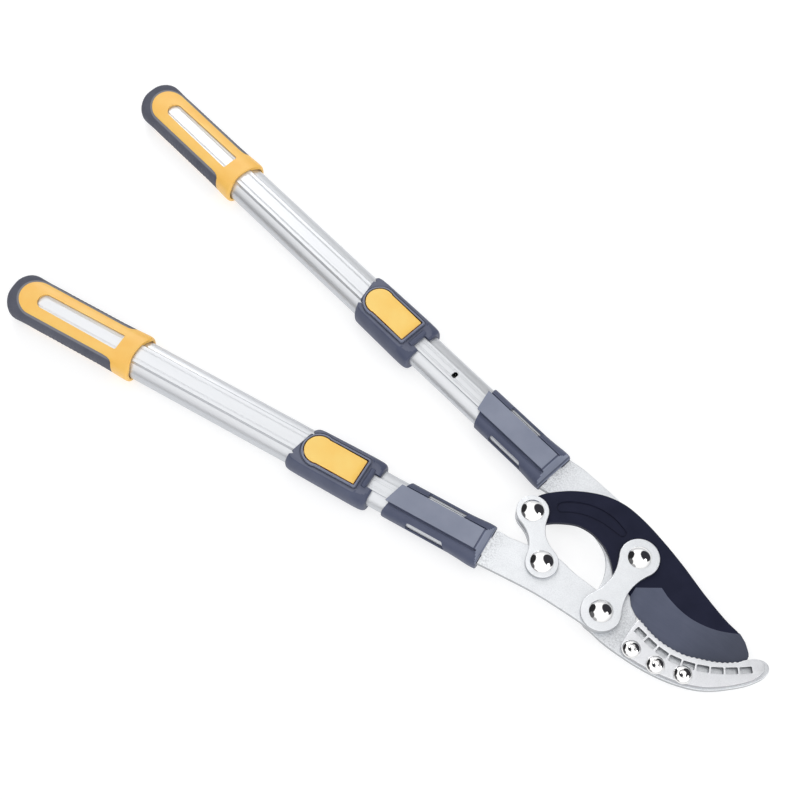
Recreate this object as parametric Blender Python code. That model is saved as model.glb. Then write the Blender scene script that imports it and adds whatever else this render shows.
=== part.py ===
# Telescopic compound-action anvil lopper.
# Metres, +Z up.  The tool lies flat: +X runs from the grips to the jaw along
# the bisector of the two handles, +Y points to the upper handle, and z = 0 is
# the surface that it lies on.  Lengths below are millimetres and are scaled
# by MM when a mesh is made.
import bpy
import bmesh
import math
from mathutils import Vector, Matrix

MM = 0.001

# ---------------------------------------------------------------- dimensions
GAP = 0.3                  # running gap between neighbouring pieces
ORIGIN_X = 231.0           # head pivot to the centre of the footprint
ORIGIN_Y = -33.8
AXIS_Z = 13.5              # height of the handle tubes' centre line

# layers of the head, heights above the surface
FRAME_Z = (8.7, 13.3)      # frame plate and rear small link
BLADE_Z = (13.6, 18.1)     # blade and lower arm share this layer
LINK_Z = (18.4, 21.9)      # front links
DOME_Z = 22.2              # underside of the polished heads
WASHER_Z = (6.9, 8.4)
NUT_Z = (0.0, 6.6)

# pivots of the compound action, in the head's own frame (arm pivot = 0, 0)
ARM_PIVOT = (0.0, 0.0)
BLADE_PIVOT = (-1.4, 52.3)
TAIL_PIVOT = (-86.8, 32.7)
LINK_PIVOT = (-57.0, 3.9)
BOLT_R = 5.0
RIVET_R = 4.0
DOME_R = 9.0
TAIL_HOLE_R = 6.2          # clearance that opens the linkage at this pivot

# handles: far end of the grip window, and direction of each handle
HANDLE_ANGLE = 8.223
UPPER_START = (-557.0, 138.2)
LOWER_START = (-510.7, -70.6)
UPPER_SLEEVE = (390.5, 468.0)   # stations along the handle
LOWER_SLEEVE = (338.0, 417.0)

# tube sections: half width, half height, half width of the flat ridge
OUTER = (16.8, 10.5, 8.0)
INNER = (14.6, 8.4, 6.0)
WALL = 1.4
OUTER_SPAN = (-12.0, 297.0)
INNER_LENGTH = 383.0
CATCH_S = 303.5            # station of the catch, in the lock housing
NOTCH = 53.0               # pitch of the catch holes

PIN_S, PIN_Z, PIN_R = 276.0, 12.6, 1.0
SCREWS = ((33.8, -8.5), (54.3, -7.4), (74.0, -1.0))

# ------------------------------------------------------------------- helpers
for ob in list(bpy.data.objects):
    bpy.data.objects.remove(ob, do_unlink=True)

MATS = {}


def material(name, colour, rough, metal):
    if name in MATS:
        return MATS[name]
    m = bpy.data.materials.new(name)
    m.use_nodes = True
    b = m.node_tree.nodes["Principled BSDF"]
    b.inputs["Base Color"].default_value = (*colour, 1.0)
    b.inputs["Roughness"].default_value = rough
    b.inputs["Metallic"].default_value = metal
    MATS[name] = m
    return m


ZINC = ("zinc_plate", (0.75, 0.77, 0.80), 0.38, 0.9)
ALU = ("aluminium", (0.83, 0.84, 0.86), 0.28, 0.95)
CHROME = ("chrome", (0.85, 0.85, 0.86), 0.08, 1.0)
NAVY = ("blade_coating", (0.028, 0.032, 0.055), 0.42, 0.3)
GREY = ("grey_plastic", (0.115, 0.127, 0.19), 0.5, 0.0)
RUBBER = ("grey_rubber", (0.098, 0.107, 0.155), 0.75, 0.0)
ORANGE = ("orange_plastic", (0.91, 0.48, 0.09), 0.38, 0.0)
STEEL = ("steel", (0.55, 0.55, 0.56), 0.35, 1.0)
NYLON = ("nylon", (0.05, 0.05, 0.055), 0.55, 0.0)


def finish(bm, name, mat, smooth=30.0, own=False):
    bmesh.ops.recalc_face_normals(bm, faces=bm.faces)
    if bm.calc_volume(signed=True) < 0:
        bmesh.ops.reverse_faces(bm, faces=bm.faces)
    bmesh.ops.scale(bm, vec=(MM, MM, MM), verts=bm.verts)
    me = bpy.data.meshes.new(name)
    bm.to_mesh(me)
    bm.free()
    me.shade_smooth()
    me.set_sharp_from_angle(angle=math.radians(smooth))
    ob = bpy.data.objects.new(name, me)
    bpy.context.scene.collection.objects.link(ob)
    if mat:
        me.materials.append(material(*((name + "_mat",) + mat[1:] if own else mat)))
    return ob


def combine(ob, tools, how):
    """Apply Boolean modifiers with each tool, then remove the tools."""
    for i, tool in enumerate(tools):
        m = ob.modifiers.new("cut%d" % i, "BOOLEAN")
        m.operation = how
        m.solver = "EXACT"
        m.object = tool
    bpy.context.view_layer.update()
    deps = bpy.context.evaluated_depsgraph_get()
    new = bpy.data.meshes.new_from_object(ob.evaluated_get(deps))
    old = ob.data
    name = old.name
    ob.modifiers.clear()
    ob.data = new
    bpy.data.meshes.remove(old)
    new.name = name
    for tool in tools:
        bpy.data.objects.remove(tool, do_unlink=True)
    bm = bmesh.new()
    bm.from_mesh(new)
    bmesh.ops.remove_doubles(bm, verts=bm.verts, dist=0.000002)
    bmesh.ops.dissolve_degenerate(bm, dist=0.000002, edges=bm.edges)
    bm.to_mesh(new)
    bm.free()
    new.shade_smooth()
    new.set_sharp_from_angle(angle=math.radians(30))
    return ob


def circle(r, n, cx=0.0, cy=0.0, turn=0.0):
    return [(cx + r * math.cos(turn + 2 * math.pi * i / n),
             cy + r * math.sin(turn + 2 * math.pi * i / n)) for i in range(n)]


def curve(points, steps=2):
    """Smooth open curve through control points (Catmull-Rom)."""
    p = [Vector(q) for q in points]
    ext = [p[0] * 2 - p[1]] + p + [p[-1] * 2 - p[-2]]
    out = []
    for i in range(1, len(ext) - 2):
        a, b, c, d = ext[i - 1:i + 3]
        for k in range(steps):
            t = k / steps
            q = 0.5 * (2 * b + (c - a) * t + (2 * a - 5 * b + 4 * c - d) * t * t
                       + (3 * b - a - 3 * c + d) * t ** 3)
            out.append((q.x, q.y))
    out.append((p[-1].x, p[-1].y))
    return out


def fill(bm, loops):
    edges = []
    for loop in loops:
        for a, b in zip(loop, loop[1:] + loop[:1]):
            edges.append(bm.edges.get((a, b)) or bm.edges.new((a, b)))
    r = bmesh.ops.triangle_fill(bm, use_beauty=True, use_dissolve=False,
                                edges=edges, normal=(0, 0, 1))
    return [g for g in r["geom"] if isinstance(g, bmesh.types.BMFace)]


def plate(name, mat, outline, holes, z0, z1, smooth=30.0, axis="Z"):
    """Flat plate from an outline and holes.  axis Y makes the outline (x, z)."""
    bm = bmesh.new()
    rings = []
    for z in (z0, z1):
        loops = [[bm.verts.new((x, y, z)) for x, y in lp] for lp in [outline] + holes]
        fill(bm, loops)
        rings.append(loops)
    for lo, hi in zip(*rings):
        n = len(lo)
        for i in range(n):
            j = (i + 1) % n
            bm.faces.new((lo[i], lo[j], hi[j], hi[i]))
    if axis == "Y":
        bmesh.ops.rotate(bm, verts=bm.verts, matrix=Matrix.Rotation(math.pi / 2, 3, "X"))
    return finish(bm, name, mat, smooth)


def turned(name, mat, profile, n=20, cx=0.0, cy=0.0):
    """Solid of revolution about +Z from (radius, z) points, top to bottom."""
    bm = bmesh.new()
    rings = []
    for r, z in profile:
        if r < 1e-6:
            rings.append([bm.verts.new((cx, cy, z))])
        else:
            rings.append([bm.verts.new((x, y, z)) for x, y in circle(r, n, cx, cy)])
    for a, b in zip(rings, rings[1:]):
        for i in range(n):
            j = (i + 1) % n
            if len(a) == 1:
                bm.faces.new((a[0], b[i], b[j]))
            elif len(b) == 1:
                bm.faces.new((a[i], b[0], a[j]))
            else:
                bm.faces.new((a[i], b[i], b[j], a[j]))
    return finish(bm, name, mat, 35.0)


def loft(name, mat, sections, bore=None, smooth=30.0):
    """Skin over sections of (s, n, z) points; bore is a second skin inside."""
    bm = bmesh.new()

    def skin(secs):
        rings = [[bm.verts.new(p) for p in sec] for sec in secs]
        for a, b in zip(rings, rings[1:]):
            n = len(a)
            for i in range(n):
                j = (i + 1) % n
                bm.faces.new((a[i], a[j], b[j], b[i]))
        return rings

    out = skin(sections)
    if bore is None:
        bm.faces.new(out[0])
        bm.faces.new(out[-1])
    else:
        inn = skin(bore)
        for o, q in ((out[0], inn[0]), (out[-1], inn[-1])):
            n = len(o)
            for i in range(n):
                j = (i + 1) % n
                bm.faces.new((o[i], o[j], q[j], q[i]))
    return finish(bm, name, mat, smooth)


def tube_section(s, half, grow=0.0):
    """Rounded oval with a flat raised ridge above and below."""
    a, b, w = half
    a += grow
    b += grow
    w += grow * 0.8
    step = 1.1
    h = b - step
    side = []
    for t in (0.62, 0.36, 0.14):
        ang = t * math.pi / 2
        side.append((a * math.cos(ang) ** 0.75, h * math.sin(ang) ** 0.75))
    q1 = [(w, b), (w + 0.5, h)] + side
    right = q1 + [(n, -z) for n, z in reversed(q1)]
    full = right + [(-n, z) for n, z in reversed(right)]
    return [(s, n, z) for n, z in full]


def oval_section(s, a, b, count=16, power=0.72):
    pts = []
    for i in range(count):
        ang = 2 * math.pi * (i + 0.5) / count
        c, d = math.cos(ang), math.sin(ang)
        pts.append((s, a * math.copysign(abs(c) ** power, c), b * math.copysign(abs(d) ** power, d)))
    return pts


def housing_section(s, a, deck, top, bottom):
    right = [(deck, top), (deck + 1.6, top - 0.8), (a - 1.6, 6.8), (a, 3.0), (a, -5.0),
             (a - 2.0, -9.8), (a - 6.5, bottom)]
    full = right + [(-n, z) for n, z in reversed(right)]
    return [(s, n, z) for n, z in full]


def box(name, s0, s1, n0, n1, z0, z1):
    return plate(name, None, [(s0, n0), (s1, n0), (s1, n1), (s0, n1)], [], z0, z1)


def cyl(name, r, cx, cy, z0, z1, n=12):
    return plate(name, None, circle(r, n, cx, cy), [], z0, z1)


def put(ob, parent=None, at=(0, 0, 0), origin=(0, 0, 0)):
    """Move the object's own origin to a point of its mesh, then place it."""
    o = Vector(origin) * MM
    ob.data.transform(Matrix.Translation(-o))
    ob.parent = parent
    ob.location = (Vector(at) + Vector(origin)) * MM
    return ob


def empty(name, at, angle=0.0):
    e = bpy.data.objects.new(name, None)
    e.empty_display_size = 0.02
    bpy.context.scene.collection.objects.link(e)
    e.location = Vector(at) * MM
    e.rotation_euler = (0, 0, math.radians(angle))
    return e


head = empty("head_axes", (ORIGIN_X, ORIGIN_Y, 0))


def on_handle(start, angle, s, n):
    c, d = math.cos(math.radians(angle)), math.sin(math.radians(angle))
    return (start[0] + s * c - n * d, start[1] + s * d + n * c)


def u(s, n):
    return on_handle(UPPER_START, -HANDLE_ANGLE, s, n)


def v(s, n):
    return on_handle(LOWER_START, HANDLE_ANGLE, s, n)


# ------------------------------------------------------------ head: plates
TANG = 8.0
us, ls = UPPER_SLEEVE[1] + 0.5, LOWER_SLEEVE[1] + 0.5

cut_edge = curve([(24.0, 15.0), (40.8, 10.6), (50.7, 10.1), (59.7, 11.0), (68.0, 12.9), (77.4, 17.3),
                  (85.9, 21.5), (93.8, 26.8), (101.6, 33.8)], 3)


def offset(points, d):
    out = []
    for i, p in enumerate(points):
        a = Vector(points[max(i - 1, 0)])
        b = Vector(points[min(i + 1, len(points) - 1)])
        t = (b - a).normalized()
        q = Vector(p) + Vector((t.y, -t.x)) * d
        out.append((q.x, q.y))
    return out


frame_bottom = curve([(2.9, -14.6), (18.5, -16.2), (45.6, -14.8), (71.0, -9.5), (92.7, 0.7), (111.2, 18.6),
                      (119.6, 31.2), (122.2, 39.0)], 2)
frame_outline = (
    [u(408, -TANG), u(us, -TANG), u(us, -16.4)]
    + curve([(-86.0, 55.6), (-66.0, 54.6), (-46.0, 51.0), (-30.0, 45.2), (-20.8, 37.7), (-14.6, 26.0),
             (-12.4, 14.0)], 2)
    + [(-14.6, 5.0), (-15.0, -3.0), (-11.6, -10.0), (-5.0, -14.2)]
    + frame_bottom
    + [(121.6, 43.2), (118.6, 46.0), (114.4, 46.4), (109.6, 44.6)]
    + list(reversed(offset(cut_edge, 1.6)))
    + curve([(19.6, 24.0), (18.4, 34.0), (18.6, 46.0), (16.0, 58.0), (6.0, 69.0), (-10.0, 76.6), (-26.0, 81.0),
             (-42.9, 84.4), (-58.0, 86.4), (-77.2, 88.6)], 2)
    + [u(us, 17.4), u(us, TANG), u(408, TANG)])

hole = lambda p, r, n=16: circle(r, n, p[0], p[1])
frame_holes = [hole(ARM_PIVOT, BOLT_R + GAP), hole(BLADE_PIVOT, BOLT_R + GAP),
               hole(u(430, 0), 2.3, 10), hole(u(452, 0), 2.3, 10)]
frame_holes += [hole(p, 3.3, 12) for p in SCREWS]
ob = plate("anvil_frame", ZINC, frame_outline, frame_holes, *FRAME_Z)
put(ob, head)

arm_end = [(15.0 * math.cos(math.radians(a)), 15.0 * math.sin(math.radians(a))) for a in range(-80, 120, 22)]
arm_outline = (
    [v(357, -TANG), v(ls, -TANG), v(ls, -15.6)]
    + curve([(-92.0, -25.6), (-76.0, -22.6), (-49.2, -18.0), (-27.3, -16.0), (-8.0, -14.9)], 2)
    + arm_end
    + curve([(-12.6, 12.8), (-27.0, 13.0), (-36.2, 13.6), (-47.2, 15.2), (-57.0, 14.6), (-66.0, 12.2), (-76.0, 8.8),
             (-88.7, 5.6)], 2)
    + [v(ls, 15.6), v(ls, TANG), v(357, TANG)])
ob = plate("lower_arm", ZINC, arm_outline,
           [hole(ARM_PIVOT, BOLT_R + GAP), hole(LINK_PIVOT, RIVET_R + GAP),
            hole(v(379, 0), 2.3, 10), hole(v(401, 0), 2.3, 10)], *BLADE_Z)
put(ob, head)

# blade: a flat plate with one hollow-ground bevel down to the cutting edge
bevel = [(9.4, 32.5), (24.7, 44.4)] + curve([(33.5, 41.5), (45.0, 38.8), (56.1, 38.2), (67.2, 40.1),
                                             (76.6, 43.4), (83.5, 47.3), (90.0, 51.0)], 1)
edge = [(10.0, 23.2), (17.0, 18.6)] + curve([(24.0, 15.1), (40.8, 11.0), (50.7, 10.5), (59.7, 11.4), (68.0, 13.3),
                                             (77.4, 17.7), (85.9, 21.9), (93.8, 27.2), (101.4, 34.3)], 1)
nose = [(104.9, 39.2), (101.0, 44.4), (96.3, 48.0)]
back = curve([(75.0, 53.6), (52.3, 60.3), (28.2, 68.9), (5.2, 75.8), (-17.2, 80.9), (-36.1, 82.2), (-54.0, 77.8),
              (-72.9, 66.8), (-87.3, 52.9)], 2)
tail = curve([(-92.6, 44.0), (-96.8, 34.5), (-94.2, 25.0), (-86.8, 21.4), (-79.2, 24.0), (-72.1, 33.4)], 2)
eye = curve([(-64.4, 40.0), (-54.0, 46.0), (-43.0, 47.7), (-33.1, 46.2), (-24.6, 43.1), (-16.5, 37.4), (-9.8, 31.1)], 2)
hub = [(-4.6, 28.8), (2.4, 28.8)]


def blade():
    bm = bmesh.new()
    z0, z1 = BLADE_Z
    main = list(reversed(bevel)) + hub[::-1] + list(reversed(eye)) + list(reversed(tail)) + list(reversed(back))
    holes = [hole(BLADE_PIVOT, BOLT_R + GAP), hole(TAIL_PIVOT, TAIL_HOLE_R)]
    top = {}

    def at(p, z):
        key = (round(p[0], 4), round(p[1], 4), round(z, 4))
        if key not in top:
            top[key] = bm.verts.new((p[0], p[1], z))
        return top[key]

    low = z0 + 0.6
    heights = {}
    for p in edge:
        heights[p] = low
    for p, z in zip(nose, (low + 0.9, low + 2.2, low + 3.2)):
        heights[p] = z
    far = edge + nose
    fill(bm, [[at(p, z1) for p in main]] + [[at(p, z1) for p in h] for h in holes])
    i = j = 0
    while i < len(bevel) - 1 or j < len(far) - 1:
        a, b = at(bevel[i], z1), at(far[j], heights[far[j]])
        ti = (i + 1) / (len(bevel) - 1) if i < len(bevel) - 1 else 9
        tj = (j + 1) / (len(far) - 1) if j < len(far) - 1 else 9
        if ti <= tj:
            i += 1
            bm.faces.new((a, b, at(bevel[i], z1)))
        else:
            j += 1
            bm.faces.new((a, b, at(far[j], heights[far[j]])))
    rim = far + back + tail + eye + hub + [bevel[0]]
    fill(bm, [[at(p, z0) for p in rim]] + [[at(p, z0) for p in h] for h in holes])
    zt = lambda p: heights.get(p, z1)
    # the bevel's last point closes the rim between the nose and the back
    ring = far + [bevel[-1]] + back + tail + eye + hub + [bevel[0]]
    for p, q in zip(ring, ring[1:] + ring[:1]):
        if bevel[-1] in (p, q):
            continue
        bm.faces.new((at(p, z0), at(q, z0), at(q, zt(q)), at(p, zt(p))))
    a, m, b = far[-1], bevel[-1], back[0]
    bm.faces.new((at(a, z0), at(b, z0), at(b, z1), at(m, z1), at(a, zt(a))))
    for h in holes:
        for p, q in zip(h, h[1:] + h[:1]):
            bm.faces.new((at(p, z0), at(q, z0), at(q, z1), at(p, z1)))
    return finish(bm, "blade", NAVY, 30)


put(blade(), head, origin=(BLADE_PIVOT[0], BLADE_PIVOT[1], 0))


def link_outline(p, q, r, waist, n=9):
    """Dog-bone link between two pivots."""
    p, q = Vector(p), Vector(q)
    d = (q - p)
    length = d.length
    ang = math.atan2(d.y, d.x)
    spread = math.radians(58)
    out = []
    ends = []
    for i in range(n):
        a = spread + (2 * math.pi - 2 * spread) * i / (n - 1)
        ends.append((r * math.cos(a), r * math.sin(a)))
    one = ends                                  # round the first pivot
    two = [(length - x, -y) for x, y in ends]   # round the second pivot
    w = waist / 2
    pts = one + [(length * 0.36, -w - 0.4), (length * 0.5, -w), (length * 0.64, -w - 0.4)] \
        + two + [(length * 0.64, w + 0.4), (length * 0.5, w), (length * 0.36, w + 0.4)]
    c, s = math.cos(ang), math.sin(ang)
    for x, y in pts:
        out.append((p.x + x * c - y * s, p.y + x * s + y * c))
    return out


ob = plate("bridge_link", ZINC, link_outline(ARM_PIVOT, BLADE_PIVOT, 15.3, 16.8),
           [hole(ARM_PIVOT, BOLT_R + GAP), hole(BLADE_PIVOT, BOLT_R + GAP)], *LINK_Z)
put(ob, head)
small = link_outline(LINK_PIVOT, TAIL_PIVOT, 12.7, 13.2)
small_holes = [hole(LINK_PIVOT, RIVET_R + GAP), hole(TAIL_PIVOT, RIVET_R + GAP)]
for name, (a, b) in (("small_link_front", LINK_Z), ("small_link_rear", (9.8, 13.3))):
    put(plate(name, ZINC, small, small_holes, a, b), head, origin=(*LINK_PIVOT, 0))

# ------------------------------------------------------- head: fasteners
DOME = [(0, 5.0), (3.6, 4.55), (6.6, 3.2), (8.4, 1.5), (DOME_R, 0.0)]
for name, p in (("arm_bolt", ARM_PIVOT), ("blade_bolt", BLADE_PIVOT)):
    prof = [(r, DOME_Z + z) for r, z in DOME] + [(BOLT_R, DOME_Z), (BOLT_R, 0.6), (0, 0.6)]
    put(turned(name, CHROME, prof, 20, *p), head, origin=(*p, 0))
for name, p in (("tail_rivet", TAIL_PIVOT), ("link_rivet", LINK_PIVOT)):
    rear = 9.5
    prof = [(r, DOME_Z + z) for r, z in DOME] + [(RIVET_R, DOME_Z), (RIVET_R, rear), (7.5, rear), (6.6, rear - 2.2),
                                                 (3.6, rear - 3.4), (0, rear - 3.7)]
    put(turned(name, CHROME, prof, 20, *p), head, origin=(*p, 0))
for name, p in (("arm", ARM_PIVOT), ("blade", BLADE_PIVOT)):
    put(plate(name + "_washer", STEEL, circle(11.0, 20, *p), [hole(p, BOLT_R + GAP)], *WASHER_Z), head)
    put(plate(name + "_nut", STEEL, circle(10.4, 6, p[0], p[1], 0.3), [hole(p, BOLT_R + GAP)], *NUT_Z), head)
for i, p in enumerate(SCREWS):
    prof = [(0, 21.3), (3.4, 21.0), (5.8, 20.1), (7.0, 18.4), (3.0, 18.4), (3.0, 9.0), (0, 9.0)]
    ob = turned("anvil_screw_%d" % (i + 1), CHROME, prof, 16, *p)
    combine(ob, [cyl("socket", 2.0, p[0], p[1], 19.6, 24.0, 6)], "DIFFERENCE")
    put(ob, head, origin=(*p, 0))

# anvil insert: serrated along the cutting edge, with a row of square holes
teeth = []
run = offset(curve([(24.6, 14.9), (40.8, 10.7), (50.7, 10.2), (59.7, 11.1), (68.0, 13.0), (77.4, 17.4),
                    (85.9, 21.6), (93.8, 26.9), (101.6, 33.9)], 4), 0.0)
for i, p in enumerate(offset(run, 0.75)):
    teeth.append(p if i % 2 else offset(run, 0.1)[i])
insert_outline = (
    [(24.6, 11.0), (25.0, 3.4), (25.6, -4.0), (26.0, -10.0), (29.0, -14.0)]
    + curve([(34.0, -15.0), (45.6, -13.7), (71.0, -8.3), (92.0, 1.9), (110.0, 19.4), (116.4, 28.0), (118.6, 36.0)], 2)
    + [(118.0, 40.2), (115.4, 43.0), (111.6, 43.6), (108.4, 41.9)]
    + teeth[::-1])
slots = []
mid = offset(curve([(30.0, 12.9), (50.7, 10.2), (68.0, 13.0), (85.9, 21.6), (101.6, 33.9), (112.0, 44.0)], 8), 6.8)
total = sum((Vector(b) - Vector(a)).length for a, b in zip(mid, mid[1:]))


def walk(points, dist):
    for a, b in zip(points, points[1:]):
        a, b = Vector(a), Vector(b)
        if dist <= (b - a).length:
            return a + (b - a).normalized() * dist, (b - a).normalized()
        dist -= (b - a).length
    return b, (b - a).normalized()


for i in range(9):
    c, t = walk(mid, 3.6 + i * (total - 10.5) / 8)
    n = Vector((-t.y, t.x))
    slots.append([tuple(c + t * x * 4.2 + n * y * 2.3) for x, y in ((-1, -1), (1, -1), (1, 1), (-1, 1))])
ob = plate("anvil_insert", ZINC, insert_outline, slots + [hole(p, 3.3, 12) for p in SCREWS], *BLADE_Z)
put(ob, head)

# ---------------------------------------------------------------- handles
SIDES = (("upper", UPPER_START, -HANDLE_ANGLE, UPPER_SLEEVE, 459.0, 408.0, FRAME_Z),
         ("lower", LOWER_START, HANDLE_ANGLE, LOWER_SLEEVE, 408.0, 357.0, BLADE_Z))


def grip_shell(name):
    stations = ((-27.2, 4.0, 5.5), (-26.2, 8.6, 9.6), (-24.0, 13.4, 12.3), (-21.0, 17.1, 13.3), (-16.5, 19.6, 13.4),
                (-10.0, 19.8, 13.1), (0.0, 19.5, 12.8), (80.0, 19.8, 12.7), (96.0, 20.4, 13.1), (100.0, 20.4, 13.1))
    return loft(name, None, [oval_section(s, a, b) for s, a, b in stations])


def band(name, grow):
    r = 15.0 + grow
    arc = [(-1.2 + r * math.cos(math.radians(a)), r * math.sin(math.radians(a))) for a in range(90, 271, 20)]
    pts = arc + [(82.6 - grow, -r), (84 - grow, -r - 1.6), (84 - grow, -26), (120, -26), (120, 26),
                 (84 - grow, 26), (84 - grow, r + 1.6), (82.6 - grow, r)]
    return plate(name, None, pts, [], -22, 22)


def coil(name, mat, r, wire, z0, z1, turns, cx, cy, seg=9, sides=5):
    bm = bmesh.new()
    rings = []
    total_seg = int(seg * turns)
    for i in range(total_seg + 1):
        a = 2 * math.pi * i / seg
        z = z0 + wire + (z1 - z0 - 2 * wire) * i / total_seg
        ring = []
        for k in range(sides):
            b = 2 * math.pi * k / sides
            rr = r + wire * math.cos(b)
            ring.append(bm.verts.new((cx + rr * math.cos(a), cy + rr * math.sin(a), z + wire * math.sin(b))))
        rings.append(ring)
    for p, q in zip(rings, rings[1:]):
        for k in range(sides):
            j = (k + 1) % sides
            bm.faces.new((p[k], p[j], q[j], q[k]))
    bm.faces.new(rings[0])
    bm.faces.new(rings[-1])
    return finish(bm, name, mat, 60)


for side, start, angle, sleeve, tube_end, tang_end, plate_z in SIDES:
    P = side + "_"
    base = empty(P + "handle_axes", (ORIGIN_X + start[0], ORIGIN_Y + start[1], AXIS_Z), angle)
    add = lambda ob, origin=(0, 0, 0): put(ob, base, origin=origin)

    # outer tube, with the screw hole under the lock housing
    s0, s1 = OUTER_SPAN
    ob = loft(P + "outer_tube", ALU, [tube_section(s0, OUTER), tube_section(s1, OUTER)],
              [tube_section(s0, OUTER, -WALL), tube_section(s1, OUTER, -WALL)])
    combine(ob, [cyl("c", 1.5, 288, 0, -20, -5)], "DIFFERENCE")
    add(ob, (s0, 0, 0))

    # inner tube, with its row of catch holes and the tang rivets' holes
    t1 = tube_end
    t0 = tube_end - INNER_LENGTH
    ob = loft(P + "inner_tube", ALU, [tube_section(t0, INNER), tube_section(t1, INNER)],
              [tube_section(t0, INNER, -WALL), tube_section(t1, INNER, -WALL)])
    first = CATCH_S + (0 if side == "lower" else NOTCH)
    cuts = []
    for k in range(5):
        c = first - k * NOTCH
        cuts.append(plate("c", None, [(c + 2.1 * x, y * 2.8) for x, y in ((-1, -0.6), (-0.4, -1), (0.4, -1), (1, -0.6),
                                                                     (1, 0.6), (0.4, 1), (-0.4, 1), (-1, 0.6))], [], 3, 14))
    rivets = (tang_end + 22, tang_end + 44)
    for c in rivets:
        cuts.append(cyl("c", 2.3, c, 0, -14, -3, 10))
    combine(ob, cuts, "DIFFERENCE")
    add(ob, (t0, 0, 0))

    # guide bush plugged into the hidden end of the inner tube
    ob = loft(P + "guide_bush", NYLON, [tube_section(t0 - 3.0, (14.6, 8.6, 6.0)), tube_section(t0 - GAP, (14.6, 8.6, 6.0)),
                                        tube_section(t0 - GAP + 0.01, (12.6, 6.4, 4.4)),
                                        tube_section(t0 + 12, (12.6, 6.4, 4.4))])
    add(ob, (t0, 0, 0))

    # sleeve that joins the inner tube to the head
    g, i1 = sleeve
    skin = (18.0, 12.0, 9.0)
    rear = [(s - (2.6 if abs(n) < 9.2 and z > 0 else 0), n, z) for s, n, z in tube_section(g, skin)]
    slot = (plate_z[0] - AXIS_Z - GAP, plate_z[1] - AXIS_Z + GAP)
    foot = slot[1] + 1.0
    capped = lambda at, top: [(s, n, min(z, top)) for s, n, z in tube_section(at, skin)]
    end_sec = [(s, n * 0.985, max(min(z, foot - 0.4), -11.4)) for s, n, z in tube_section(i1, skin)]
    ob = loft(P + "sleeve", GREY, [rear, tube_section(i1 - 6.5, skin), capped(i1 - 4.2, 10.7), capped(i1 - 2.0, 7.9),
                                   capped(i1 - 0.8, foot), end_sec])
    w0, w1 = g + 15.5, i1 - 26.0
    win = [(w0 + 1.4, -4.5), (w1 - 1.5, -4.5), (w1, -2.6), (w1, 1.6), (w1 - 4.5, 8.6), (w0 + 3.0, 8.6), (w0 + 0.8, 6.8),
           (w0, 4.0), (w0, -2.6)]
    cuts = [plate("c", None, win, [], -30, 30, axis="Y"),
            loft("c", None, [tube_section(g - 5.0, INNER, GAP), tube_section(i1 - 8.7, INNER, GAP)]),
            box("c", i1 - 12.0, i1 + 2.0, -TANG - GAP, TANG + GAP, *slot)]
    for c in rivets:
        cuts.append(cyl("c", 2.3, c, 0, -16, -5, 10))
    combine(ob, cuts, "DIFFERENCE")
    add(ob, (g, 0, 0))

    # rivets through sleeve, tube and tang, from below
    top = 4.9 if side == "lower" else 0.1
    for k, c in enumerate(rivets):
        prof = [(0, top + 1.3), (2.9, top + 1.1), (3.0, top), (2.0, top), (2.0, -12.3), (3.6, -12.3), (3.2, -13.0),
                (0, -13.2)]
        add(turned(P + "tang_rivet_%d" % (k + 1), STEEL, prof, 12, c, 0), (c, 0, 0))

    # lock housing
    secs = [housing_section(248.0, 18.9, 11.2, 12.2, -12.4), housing_section(251.5, 19.8, 13.4, 14.2, -13.3),
            housing_section(308.4, 20.8, 14.0, 14.8, -13.3), housing_section(309.8, 20.8, 12.4, 12.2, -13.3),
            housing_section(318.0, 20.8, 12.2, 12.2, -13.1), housing_section(320.0, 19.6, 11.2, 11.2, -12.4)]
    ob = loft(P + "lock_housing", GREY, secs)
    r = 12.0
    well = [(268.6 + r * math.cos(math.radians(a)), r * math.sin(math.radians(a))) for a in range(90, 271, 20)]
    well += [(271.0, -r), (272.6, 0.5 - r), (307.0, 0.5 - r), (307.0, r - 0.5), (272.6, r - 0.5), (271.0, r)]
    cuts = [loft("c", None, [tube_section(240, OUTER, GAP), tube_section(297.6, OUTER, GAP)]),
            loft("c", None, [tube_section(290, INNER, GAP), tube_section(330, INNER, GAP)]),
            plate("c", None, well, [], 5, 24),
            box("c", 315.0, 330, -6.5, 6.5, 5, 24),
            *(plate("c", None, [(240, n - 2.4), (244, n - 2.4), (251.2, n - 0.7), (251.2, n + 0.7), (244, n + 2.4),
                                (240, n + 2.4)], [], 5, 24) for n in (-11.2, 11.2)),
            plate("c", None, circle(PIN_R + GAP, 10, PIN_S, PIN_Z), [], -13.3, 13.3, axis="Y"),
            cyl("c", 2.9, 288, 0, -20, -11.9), cyl("c", 1.5, 288, 0, -20, -5)]
    combine(ob, cuts, "DIFFERENCE")
    add(ob, (285, 0, 0))

    prof = [(0, -9.5), (1.2, -9.5), (1.2, -12.2), (2.5, -12.2), (2.4, -13.0), (0, -13.1)]
    add(turned(P + "housing_screw", STEEL, prof, 12, 288, 0), (288, 0, 0))

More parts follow.
